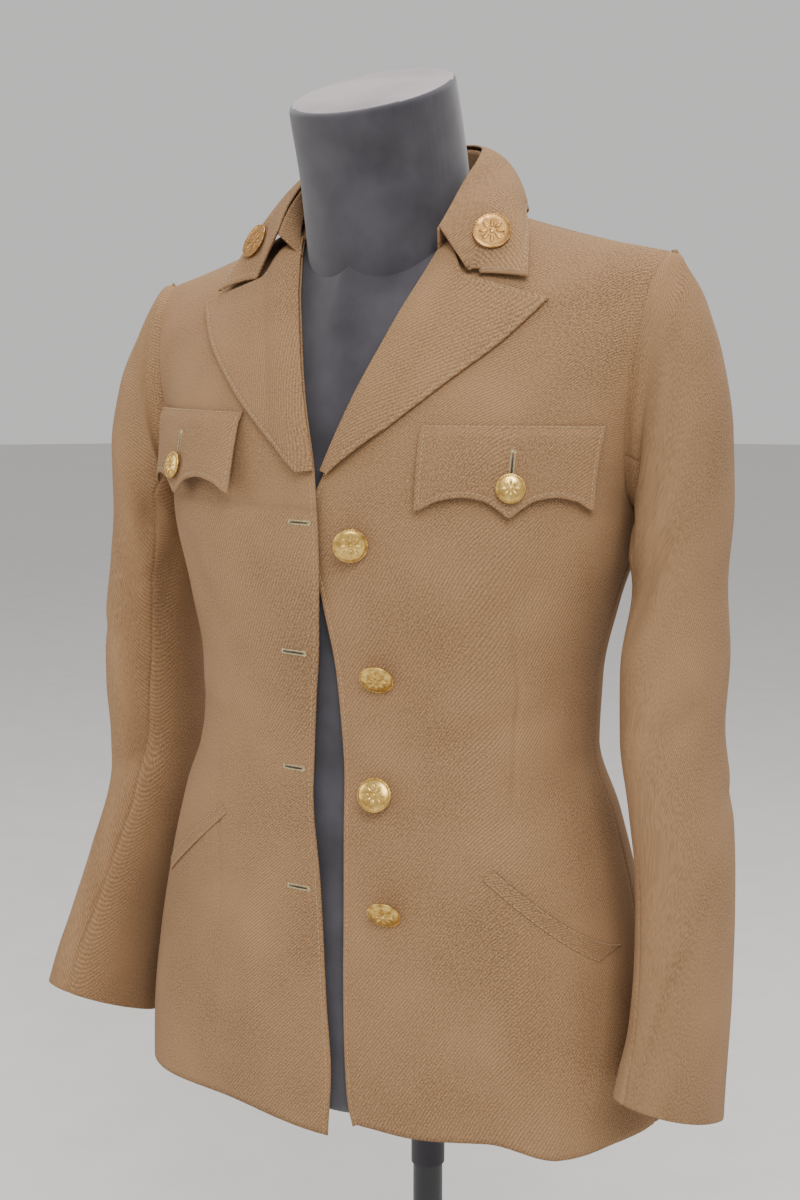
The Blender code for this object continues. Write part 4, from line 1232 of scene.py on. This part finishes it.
@dataclass
class Back:
    """One back panel, from the side seam and armhole to the centre back seam."""

    side: Side

    def build(self, wool: bpy.types.Material) -> None:
        """Shapes and creases the panel."""
        sign = self.side.value
        up = subdivided(PANEL_ROWS, 6)
        outer = SCYE(np.maximum(up, 1.0)).back + 0.03
        a = edged(84, 0.24)
        a = a if sign > 0 else 1 - (1 - a)[::-1][::-1]
        a = a if sign > 0 else a[::-1]
        turn = blend(outer[:, None], 179.97, a[None, :])
        turn, tall = np.broadcast_arrays(turn, up[:, None])
        cloth = Cloth(body(sign * turn, tall))
        cloth.raise_by(creased(cloth.base, BACK_CREASES[self.side], body))
        cloth.raise_by(soft_noise(cloth.base, 0.09, self.side.value * 5.1) * 0.0008)
        cloth.raise_by(-0.0008 * np.exp(-((cloth.from_edges("lr") / 0.0018) ** 2)))
        word = self.side.word
        Sewn(f"cloth_back_{word}", (f"back_{word}",), (FORM_PIECE,)).finish(cloth, wool)


class Cut(Enum):
    """The two cuts of a sleeve."""

    UPPER = "upper"
    UNDER = "under"


@dataclass
class Sleeve:
    """A two-piece sleeve, sewn into the armhole with a small roll at its head."""

    side: Side
    head_roll: float = 0.0012

    def ring(self, share: Array, along: Array) -> Array:
        """The ovals below the armhole."""
        sign = self.side.value
        row = SLEEVE[self.side](along)
        out = power(np.cos(2 * math.pi * share), 0.95)
        fore = power(np.sin(2 * math.pi * share), 0.90)
        x = sign * (row.x + row.out_x * out)
        return stack(x, row.y - row.half_depth * fore, row.z + row.out_z * out + row.tip * fore)

    def surface(self, share: Array, along: Array) -> Array:
        """The sleeve's outer surface, which has the armhole's shape at its head."""
        share, along = np.broadcast_arrays(np.asarray(share, float), np.asarray(along, float))
        sign = self.side.value
        up = np.minimum(1 + (1 + np.cos(2 * math.pi * share)) / 2, 1.995)
        row = SCYE(up)
        armhole = body(sign * np.where(share % 1.0 < 0.5, row.front, row.back), up)
        keep = 1 - smooth(along / ARMHOLE_FADE)
        point = self.ring(share, along)
        point = point + (armhole - self.ring(share, np.zeros_like(along))) * keep[..., None]
        centre = SLEEVE[self.side](along)
        inward = unit(stack(sign * centre.x, centre.y, centre.z) - point)
        for round_at, along_at, wide, long, depth in FOLDS[self.side]:
            gap = np.abs(share % 1.0 - round_at)
            gap = np.minimum(gap, 1 - gap)
            fall = np.exp(-((gap / wide) ** 2) - ((along - along_at) / long) ** 2)
            point = point + inward * (depth * fall * (1 - keep))[..., None]
        return point

    def turning(self, edge: Array, share: Array) -> Array:
        """The seam allowance that turns in behind the armhole's edge.

        Args:
            edge: The points of the sleeve's head.
            share: Their shares of the way round.

        Returns:
            Rows of points, the deepest first.
        """
        up = np.minimum(1 + (1 + np.cos(2 * math.pi * share)) / 2, 1.995)
        row = SCYE(up)
        around = self.side.value * np.where(share % 1.0 < 0.5, row.front, row.back)
        inward = -body_normal(around, up) * 0.9 - np.array([self.side.value, 0, 0]) * 1.2
        return np.array([edge + inward * deep for deep in (0.0036, 0.0024, 0.0012)])

    def build(self, wool: bpy.types.Material) -> None:
        """Shapes both cuts."""
        along = subdivided(SLEEVE_ROWS, 8)
        seam = SLEEVE_SEAMS(along)
        front, back = (f"cloth_{part}_{self.side.word}" for part in ("front", "back"))
        for cut, count in ((Cut.UPPER, 84), (Cut.UNDER, 44)):
            upper = cut is Cut.UPPER
            start, end = (seam.back - 1, seam.front) if upper else (seam.front, seam.back)
            a = edged(count, 0.2 if upper else 0.1)
            a = a if self.side is Side.LEFT else a[::-1]
            share = blend(start[:, None], end[:, None], a[None, :])
            cloth = Cloth(self.surface(share, along[:, None]))
            cloth.raise_by(creased(cloth.base, SLEEVE_CREASES[self.side], self.surface))
            cloth.raise_by(soft_noise(cloth.base, 0.06, self.side.value * 8.3) * 0.0007)
            cloth.raise_by(-0.0008 * np.exp(-((cloth.from_edges("lr") / 0.0016) ** 2)))
            head = cloth.columns
            cloth.raise_by(self.head_roll * np.exp(-(((head - 0.006) / 0.004) ** 2)))
            cloth = Cloth(np.vstack([self.turning(cloth.points[0], share[0]), cloth.points]))
            cloth.round_edges("t", 0.0011)
            name = f"{cut.value}_sleeve_{self.side.word}"
            Sewn(f"cloth_{name}", (name,), (front, back)).finish(cloth, wool)


@dataclass
class Lapel:
    """A turned-back lapel, from its roll line out to the edge and up to the gorge."""

    side: Side
    foot: float = 0.7935
    head: float = 0.947
    gorge: float = 0.30
    corner: Pair = (0.0795, 0.9195)
    rise: float = 0.0038
    bulge: float = 0.0035

    def points(self) -> Array:
        """The lapel's grid."""
        sign = self.side.value
        b = edged(110, 0.18)[:, None]
        a = edged(60, 0.07)[None, :]
        a = a if sign > 0 else a[:, ::-1]
        a, b = np.broadcast_arrays(a, b)
        roll_z = blend(self.foot, self.head, b)
        roll_x = FRONT_EDGE[self.side](roll_z).x - sign * 0.0015
        outline = LAPEL_EDGE(b)
        x, z = blend(roll_x, sign * outline.x, a), blend(roll_z, outline.z, a)
        head_x = FRONT_EDGE[self.side](self.head).x
        dip_x = sign * self.corner[0] - blend(head_x, sign * 0.136, self.gorge)
        dip_z = self.corner[1] - blend(self.head, 0.9035, self.gorge)
        pull = np.where(a < self.gorge, a / self.gorge, (1 - a) / (1 - self.gorge)) * b**4
        x, z = x + dip_x * pull, z + dip_z * pull
        width = np.hypot(x - roll_x, z - roll_z)
        lift = self.rise + self.bulge * np.sin(np.pi * np.minimum(width / 0.030, 1.0))
        lift = lift + FRONT_EDGE[self.side](z).lift
        return on_front(x, z, sign, lift)

    def build(self, wool: bpy.types.Material, seam: Stitches) -> None:
        """Shapes, edges and sews the lapel."""
        outer = "r" if self.side is Side.LEFT else "l"
        cloth = Cloth(self.points())
        cloth.raise_by(soft_noise(cloth.base, 0.05, self.side.value * 2.2) * 0.0004)
        cloth.round_edges(outer + "t", 0.0013)
        cloth.stitch_dip(outer, STITCH_INSET)
        cloth.measure()
        seam.run(*cloth.inset_path(outer, STITCH_INSET, (0.02, STITCH_INSET)))
        seam.run(*cloth.inset_path("t", STITCH_INSET, (0.028, STITCH_INSET) if outer == "r" else (STITCH_INSET, 0.028)))
        word = self.side.word
        sewn = Sewn(f"cloth_lapel_{word}", (f"lapel_{word}",), (f"cloth_front_{word}",), 0.0022, "folded")
        sewn.finish(cloth, wool)


@dataclass
class Collar:
    """The collar's turned-down leaf and the stand that holds it up."""

    lift: float = 0.0044
    stand_reach: float = 1.0
    join_from: float = 0.55
    stand_drop: float = 0.0014
    wall: float = 0.0024
    disk_seat: float = 0.0008

    def leaf(self, t: Array, b: Array) -> Array:
        """The leaf, from the fold (b 0) to its outer edge (b 1)."""
        side = np.where(t >= 0, 1.0, -1.0)
        row = COLLAR(np.abs(t))
        fold = stack(side * row.fold_x, row.fold_y, row.fold_z)
        edge = cape(side * row.edge_x, row.edge_y, side, self.lift)
        forward = smooth((np.abs(t) - 0.5) / 0.5)
        turn = blend(fold, edge, blend(0.80, 0.50, forward)[..., None])
        turn[..., 2] = fold[..., 2] - blend(0.002, 0.012, forward)
        b = b[..., None]
        point = fold * (1 - b) ** 2 + turn * (2 * b * (1 - b)) + edge * b**2
        share = b[..., 0]
        pull = np.where(share < 0.38, share / 0.38, (1 - share) / 0.62)
        pull = pull * smooth((np.abs(t) - 0.78) / 0.22)
        return point + stack(side * -0.0020 * pull, np.zeros_like(pull), -0.0200 * pull)

    def points(self) -> Array:
        """The leaf's grid, kept off the body."""
        t, b = np.broadcast_arrays(np.linspace(-1, 1, 221)[None, :], edged(44, 0.06)[:, None])
        point = self.leaf(t, b)
        flat = point.copy()
        for sign in (1, -1):
            x = np.where(t * sign >= 0, point[..., 0], 0.1 * sign)
            z = np.clip(point[..., 2], 0.80, 0.965)
            around, up = find_front(x, z, sign)
            found = body(around, up)
            wanted = lifted(around, up, self.lift)
            near = (t * sign >= 0) & (point[..., 1] > wanted[..., 1])
            near &= np.abs(found[..., 0] - x) + np.abs(found[..., 2] - z) <= 1e-5
            forward = smooth((SHOULDER_Y - 0.020 - point[..., 1]) / 0.010)
            share = forward * smooth((0.965 - point[..., 2]) / 0.010)
            flat = np.where(near[..., None], blend(point, wanted, share[..., None]), flat)
        return flat

    def stand(self) -> Array:
        """The stand's grid, from under the fold down to the neck seam."""
        t, b = np.meshgrid(np.linspace(-1, 1, 121) * self.stand_reach, np.linspace(0, 1, 12))
        side = np.where(t >= 0, 1.0, -1.0)
        row = COLLAR(np.abs(t))
        foot = stack(side * (row.fold_x - 0.0010), row.fold_y - 0.0006, row.foot_z)
        # Towards the gorge the stand's foot runs down onto the front's own neck edge
        share = np.clip((np.abs(t) - self.join_from) / (1 - self.join_from), 0, 1)
        edge_z = blend(0.967, 0.934, share)
        for one in Side:
            edge = on_front(FRONT_EDGE[one](edge_z).x, edge_z, one.value, 0.0008)
            joined = blend(foot, edge, smooth(share)[..., None])
            foot = np.where((t * one.value > 0)[..., None], joined, foot)
        head = stack(side * (row.fold_x + 0.0012), row.fold_y, row.fold_z - self.stand_drop)
        return blend(head, foot, b[..., None])

    def build(self, wool: bpy.types.Material, seam: Stitches) -> None:
        """Shapes and sews both pieces."""
        backs = ("cloth_back_left", "cloth_back_right")
        Sewn("cloth_collar_stand", ("collar_stand",), backs).finish(Cloth(self.stand()), wool)
        cloth = Cloth(self.points())
        cloth.raise_by(np.full(cloth.rows.shape, self.wall))
        cloth.measure()
        cloth.round_edges("lrbt", 0.0013)
        cloth.stitch_dip("t", STITCH_INSET)
        cloth.measure()
        seam.run(*cloth.inset_path("t", STITCH_INSET, (STITCH_INSET, STITCH_INSET)))
        for end in "lr":
            seam.run(*cloth.inset_path(end, STITCH_INSET, (0.03, STITCH_INSET)))
        Sewn("cloth_collar", ("collar",), backs, self.wall, "folded").finish(cloth, wool)


@dataclass
class Flap:
    """A scalloped breast flap."""

    side: Side
    turn_in: float
    turn_out: float
    top: float
    bottom: float
    lift_top: float
    lift_bottom: float
    ease: float = 0.10

    def surface(self, w: Array, h: Array) -> Array:
        """The flap: w from the inner to the outer end, h from the top to the edge."""
        w, h = np.broadcast_arrays(np.asarray(w, float), np.asarray(h, float))
        sign = self.side.value
        turn = blend(self.turn_in, self.turn_out, w * (1 - self.ease + self.ease * w))
        z = blend(self.top, self.bottom + SCALLOP(np.abs(w - 0.5) * 2).rise, h)
        up = 1 + np.arcsin(np.clip((z - CHEST_Z) / 0.17, 0, 0.9)) * 2 / math.pi
        for _ in range(14):
            up = np.clip(up + (z - body(sign * turn, up)[..., 2]) / 0.26, 0.9, 1.9)
        lift = blend(self.lift_top, self.lift_bottom, h) * (0.6 + 0.4 * smooth(h / 0.15))
        return lifted(sign * turn, up, lift)

    def build(self, wool: bpy.types.Material, seam: Stitches) -> None:
        """Shapes, edges and sews the flap."""
        w = edged(96, 0.125)
        w = w if self.side is Side.LEFT else w[::-1]
        cloth = Cloth(self.surface(w[None, :], 1 - edged(48, 0.056)[:, None]))
        cloth.raise_by(soft_noise(cloth.base, 0.03, self.side.value * 6.4) * 0.0004)
        cloth.round_edges("lrbt", 0.0012)
        cloth.stitch_dip("lrb", STITCH_INSET)
        cloth.measure()
        for edge in "lrb":
            seam.run(*cloth.inset_path(edge, STITCH_INSET, (STITCH_INSET, STITCH_INSET)))
        seam.run(*cloth.inset_path("t", 0.0018))
        name = f"breast_flap_{self.side.word}"
        front = f"cloth_front_{self.side.word}"
        Sewn(f"cloth_{name}", (name,), (front,), 0.0020).finish(cloth, wool)


@dataclass
class Welt:
    """A slanted hip pocket's welt, sewn down along both of its edges."""

    side: Side
    inner: Pair
    outer: Pair
    width: float = 0.009
    lift: float = 0.0012

    def build(self, wool: bpy.types.Material, seam: Stitches) -> None:
        """Shapes and sews the welt."""
        sign = self.side.value
        run = np.subtract(self.outer, self.inner) / np.hypot(*np.subtract(self.outer, self.inner))
        a, b = np.broadcast_arrays(edged(60, 0.09)[None, :], edged(14, 0.009)[:, None])
        a = a if sign > 0 else a[:, ::-1]
        x = blend(self.inner[0], self.outer[0], a) + run[1] * self.width * (1 - b)
        z = blend(self.inner[1], self.outer[1], a) - run[0] * self.width * (1 - b)
        cloth = Cloth(on_front(sign * x, z, sign, self.lift))
        cloth.round_edges("lrbt", 0.0010)
        cloth.measure()
        for edge in "bt":
            seam.run(*cloth.inset_path(edge, 0.0016))
        name = f"hip_welt_{self.side.word}"
        front = f"cloth_front_{self.side.word}"
        Sewn(f"cloth_{name}", (name,), (front,), 0.0016, "stretched").finish(cloth, wool)


@dataclass
class Buttonholes:
    """Worked buttonholes: two beads of twist round a slit, with a fan at one end, and a near-black oval of painted
    shade in the slit.
    """

    pitch: float = 0.00065

    def sew(self, path: Array, facing: Array, thread: Stitches, slit: Stitches) -> None:
        """Works one buttonhole along a path that ends at its fan.

        Args:
            path: Points along the slit.
            facing: The cloth's normals there.
            thread: Where the twist goes.
            slit: Where the painted shade of the slit goes.
        """
        steps = np.append(0, np.cumsum(np.linalg.norm(np.diff(path, axis=0), axis=1)))
        for at in np.arange(0, steps[-1], self.pitch):
            here = np.array([np.interp(at, steps, path[:, k]) for k in range(3)])
            face = unit(np.array([np.interp(at, steps, facing[:, k]) for k in range(3)]))
            run = unit(path[-1] - path[0])
            cross = np.cross(face, run)
            for way in (1, -1):
                thread.one(here + cross * way * 0.0012 + face * 0.0001, cross, face, (0.0013, 0.0007, 0.0007))
        face, run = unit(facing.mean(axis=0)), unit(path[-1] - path[0])
        cross = np.cross(face, run)
        # A thin near-black oval over the slit is painted shade for its gap.
        slit.one(path.mean(axis=0) + face * 0.0003, run, face, (steps[-1], 0.0010, 0.0004))
        thread.one(path[0] + face * 0.0002, cross, face, (0.0046, 0.0011, 0.0010))
        for turn in np.radians(np.linspace(-80, 80, 7)):
            ray = run * math.cos(turn) + cross * math.sin(turn)
            thread.one(path[-1] + ray * 0.0013 + face * 0.0002, ray, face, (0.0024, 0.0008, 0.0009))

    def build(self, flaps: Sequence[Flap], finishes: Finishes) -> None:
        """Works the four of the right front and the one of each flap."""
        thread, slit = Stitches("buttonhole_twist"), Stitches("buttonhole_slits")
        front = Front(Side.RIGHT)
        rows = ((-0.0195, -0.0035, 0.759), (-0.0290, -0.0100, 0.671), (-0.0306, -0.0145, 0.5905), (-0.0224, -0.0060, 0.510))
        for start, end, height in rows:
            x, z = np.linspace(start, end, 9), np.full(9, height)
            around, up = find_front(x, z, -1)
            self.sew(front.surface(x, z), body_normal(around, up), thread, slit)
        for flap in flaps:
            h = np.linspace(0.68, 0.30, 9)
            path = flap.surface(np.full(9, 0.5), h)
            beside = flap.surface(np.full(9, 0.52), h)
            facing = unit(np.cross(beside - path, np.gradient(path, axis=0))) * flap.side.value
            self.sew(path, facing, thread, slit)
        thread.finish(finishes.hole_thread)
        slit.finish(finishes.slit)


@dataclass
class Fastening:
    """A struck button or disk: a turned body with a corded rim and a plain rosette."""

    name: str
    radius: float
    shank: float
    domed: bool
    petals: int = 8

    def build(self, foot: Array, facing: Vector, metal: bpy.types.Material, slot: str) -> None:
        """Spins the body, strikes the face and places it.

        Args:
            foot: Where the shank meets the cloth.
            facing: The axis, away from the cloth.
            metal: The material.
            slot: Not used.
        """
        r, s = self.radius, self.shank
        dome = 0.22 * r if self.domed else 0.0
        face = s + (0.0012 if self.domed else 0.0011)
        arc = [(r * 0.93 * math.sin(t), face + dome * math.cos(t)) for t in np.linspace(0, math.pi / 2, 9)]
        if not self.domed:
            arc = [(r * 0.93 * t, face) for t in np.linspace(0, 1, 5)]
        rim = [(r * 0.97, face + 0.0005), (r, face), (r * 0.985, s + 0.0002), (r * 0.95, s)]
        profile = arc + rim + [(0.0018, s - 0.0004 * self.domed), (0.0018, 0.0), (0.0, 0.0)]
        bm = bmesh.new()
        verts = [bm.verts.new((x, 0, z)) for x, z in profile]
        edges = [bm.edges.new(pair) for pair in zip(verts, verts[1:])]
        bmesh.ops.spin(
            bm, geom=verts + edges, cent=(0, 0, 0), axis=(0, 0, 1), angle=2 * math.pi, steps=48, use_merge=True
        )
        bmesh.ops.remove_doubles(bm, verts=bm.verts, dist=1e-6)
        bmesh.ops.recalc_face_normals(bm, faces=bm.faces)
        self.strike(bm, face, dome)
        turn = facing.to_track_quat("Z", "Y").to_matrix().to_4x4()
        bmesh.ops.transform(bm, matrix=Matrix.Translation(Vector(foot + BODY_SHIFT)) @ turn, verts=bm.verts)
        mesh = bpy.data.meshes.new(self.name)
        bm.to_mesh(mesh)
        bm.free()
        mesh.shade_smooth()
        obj = place_piece("brass_" + self.name, mesh, metal)
        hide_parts(self.name)

    def strike(self, bm: bmesh.types.BMesh, face: float, dome: float) -> None:
        """Raises the corded rim, the petals and the bead in the middle."""
        r = self.radius
        for k in range(36):
            a = 2 * math.pi * k / 36
            self.bead(bm, r * 0.955, a, face + 0.0004, a + 0.9, (r * 0.055, r * 0.030, 0.0004))
        for k in range(self.petals):
            a = 2 * math.pi * k / self.petals
            rise = face + dome * math.cos(math.asin(0.46)) + 0.0001
            self.bead(bm, r * 0.44, a, rise, a, (r * 0.24, r * 0.115, 0.0005))
        self.bead(bm, 0.0, 0.0, face + dome, 0.0, (r * 0.15, r * 0.15, 0.0006))

    def bead(self, bm: bmesh.types.BMesh, out: float, a: float, z: float, turn: float, size: tuple) -> None:
        """Adds one raised oval at a distance out along an angle."""
        place = Matrix.Translation((out * math.cos(a), out * math.sin(a), z)) @ Matrix.Rotation(turn, 4, "Z")
        place = place @ Matrix.Diagonal((*size, 1.0))
        bmesh.ops.create_uvsphere(bm, u_segments=10, v_segments=6, radius=1.0, matrix=place)


# Front buttons: place on the front, droop and turn to the wearer's left
FRONT_BUTTONS = (
    (0.026, 0.748, 12, 30),
    (0.044, 0.663, 30, 8),
    (0.043, 0.579, -8, 6),
    (0.054, 0.507, 38, 5),
)


@dataclass
class Metalwork:
    """All the buttons and both collar disks."""

    def build(self, flaps: Sequence[Flap], collar: Collar, finishes: Finishes) -> None:
        """Places each on the cloth that carries it."""
        for number, (x, z, droop, turn) in enumerate(FRONT_BUTTONS, 1):
            around, up = find_front(np.array(x), np.array(z), 1)
            normal = Vector(body_normal(around, up))
            facing = normal.copy()
            facing.rotate(Quaternion(Vector((0, 0, 1)).cross(normal).normalized(), math.radians(droop)))
            facing.rotate(Quaternion((0, 0, 1), math.radians(turn)))
            foot = lifted(around, up, 0.0004 + 0.0016 * math.sin(normal.angle(facing)))
            Fastening(f"front_button_{number}", 0.0115, 0.0070, True).build(foot, facing, finishes.gilt, "gilt")
        for flap in flaps:
            centre, across, along = flap.surface([0.5, 0.52, 0.5], [0.68, 0.68, 0.66])
            facing = unit(np.cross(across - centre, along - centre)) * flap.side.value
            name = f"flap_button_{flap.side.word}"
            button = Fastening(name, 0.0095, 0.0020, True)
            button.build(centre + facing * 0.0005, Vector(facing), finishes.gilt, "gilt")
        for side in Side:
            t, b = side.value * np.array([0.86, 0.90, 0.82, 0.86, 0.86]), np.array([0.52, 0.52, 0.52, 0.60, 0.44])
            centre, ahead, behind, low, high = collar.leaf(t, b)
            facing = unit(np.cross(ahead - behind, low - high)) * side.value
            disk = Fastening(f"collar_disk_{side.word}", 0.0127, 0.0006, False)
            foot = centre + facing * (collar.wall + collar.disk_seat)
            disk.build(foot, Vector(facing), finishes.worn, "disk_brass")


@dataclass
class Studio:
    """The plain floor, the soft lights and the camera."""

    away: float = 1.29
    azimuth: float = 30.0
    pitch: float = 8.31
    height: float = 0.88
    aside: float = -0.009

    def lamp(self, name: str, place: tuple, aim: tuple, size: float, power: float) -> None:
        """Adds a square area light aimed at a point."""
        data = bpy.data.lights.new(name, "AREA")
        data.size, data.energy = size, power
        obj = bpy.data.objects.new(name, data)
        obj.location = place
        obj.rotation_euler = (Vector(aim) - Vector(place)).to_track_quat("-Z", "Y").to_euler()
        bpy.context.scene.collection.objects.link(obj)

    def build(self) -> None:
        """Sets the stage."""
        bm = bmesh.new()
        bmesh.ops.create_circle(bm, cap_ends=True, segments=96, radius=14.0)
        bmesh.ops.translate(bm, verts=bm.verts, vec=(0, 0, -0.0005))
        mesh = bpy.data.meshes.new("floor")
        bm.to_mesh(mesh)
        bm.free()
        floor = bpy.data.objects.new("floor", mesh)
        floor.data.materials.append(Painted("pale matt floor", "#D8D6D3", "#D4D2CF", 0.9).make())
        bpy.context.scene.collection.objects.link(floor)
        floor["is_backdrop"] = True
        world = bpy.data.worlds.new("soft studio")
        world.use_nodes = True
        back = world.node_tree.nodes["Background"]
        back.inputs["Color"].default_value = linear("#E4E3E2")
        back.inputs["Strength"].default_value = 0.85
        bpy.context.scene.world = world
        self.lamp("key", (1.6, -2.2, 2.6), (0, 0, 0.7), 1.6, 84)
        self.lamp("fill", (-2.4, -1.6, 1.5), (0, 0, 0.7), 2.0, 30)
        self.lamp("top", (0.2, 0.6, 2.8), (0, 0, 0.9), 1.4, 46)
        a, p = math.radians(self.azimuth), math.radians(self.pitch)
        place = Vector((self.away * math.sin(a), -self.away * math.cos(a) - STAND_BACK, self.height))
        place += Vector((math.cos(a), math.sin(a), 0)) * self.aside
        look = Vector((-math.sin(a) * math.cos(p), math.cos(a) * math.cos(p), -math.sin(p)))
        lens = bpy.data.cameras.new("camera")
        lens.lens, lens.sensor_width = 54.0, 36.0
        camera = bpy.data.objects.new("camera", lens)
        camera.location = place
        camera.rotation_euler = look.to_track_quat("-Z", "Y").to_euler()
        bpy.context.scene.collection.objects.link(camera)
        bpy.context.scene.camera = camera


def main() -> None:
    """Builds the form, the tunic and the studio, and gathers the bounds of the CAD parts and of the finished scene."""
    logging.basicConfig(level=logging.INFO, format="%(name)s %(message)s")
    finishes = Finishes.build()
    seam = Stitches("topstitching")
    DressForm().build(finishes)
    for side in Side:
        Front(side).build(finishes.wool, seam)
        Back(side).build(finishes.wool)
        Sleeve(side).build(finishes.wool)
        Lapel(side).build(finishes.wool, seam)
    collar = Collar()
    collar.build(finishes.wool, seam)
    flaps = (
        Flap(Side.LEFT, 20.9, 68.0, 0.8245, 0.7665, 0.0042, 0.0070),
        Flap(Side.RIGHT, 18.8, 66.0, 0.8300, 0.7720, 0.0042, 0.0120),
    )
    for flap in flaps:
        flap.build(finishes.wool, seam)
    Welt(Side.LEFT, (0.120, 0.535), (0.184, 0.476)).build(finishes.wool, seam)
    Welt(Side.RIGHT, (0.088, 0.556), (0.160, 0.497)).build(finishes.wool, seam)
    Buttonholes().build(flaps, finishes)
    Metalwork().build(flaps, collar, finishes)
    seam.finish(finishes.seam_thread)
    Studio().build()
    corners = [[list(map(float, corner)) for corner in box] for box in (CAD_BOX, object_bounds())]


if __name__ == "__main__":
    main()
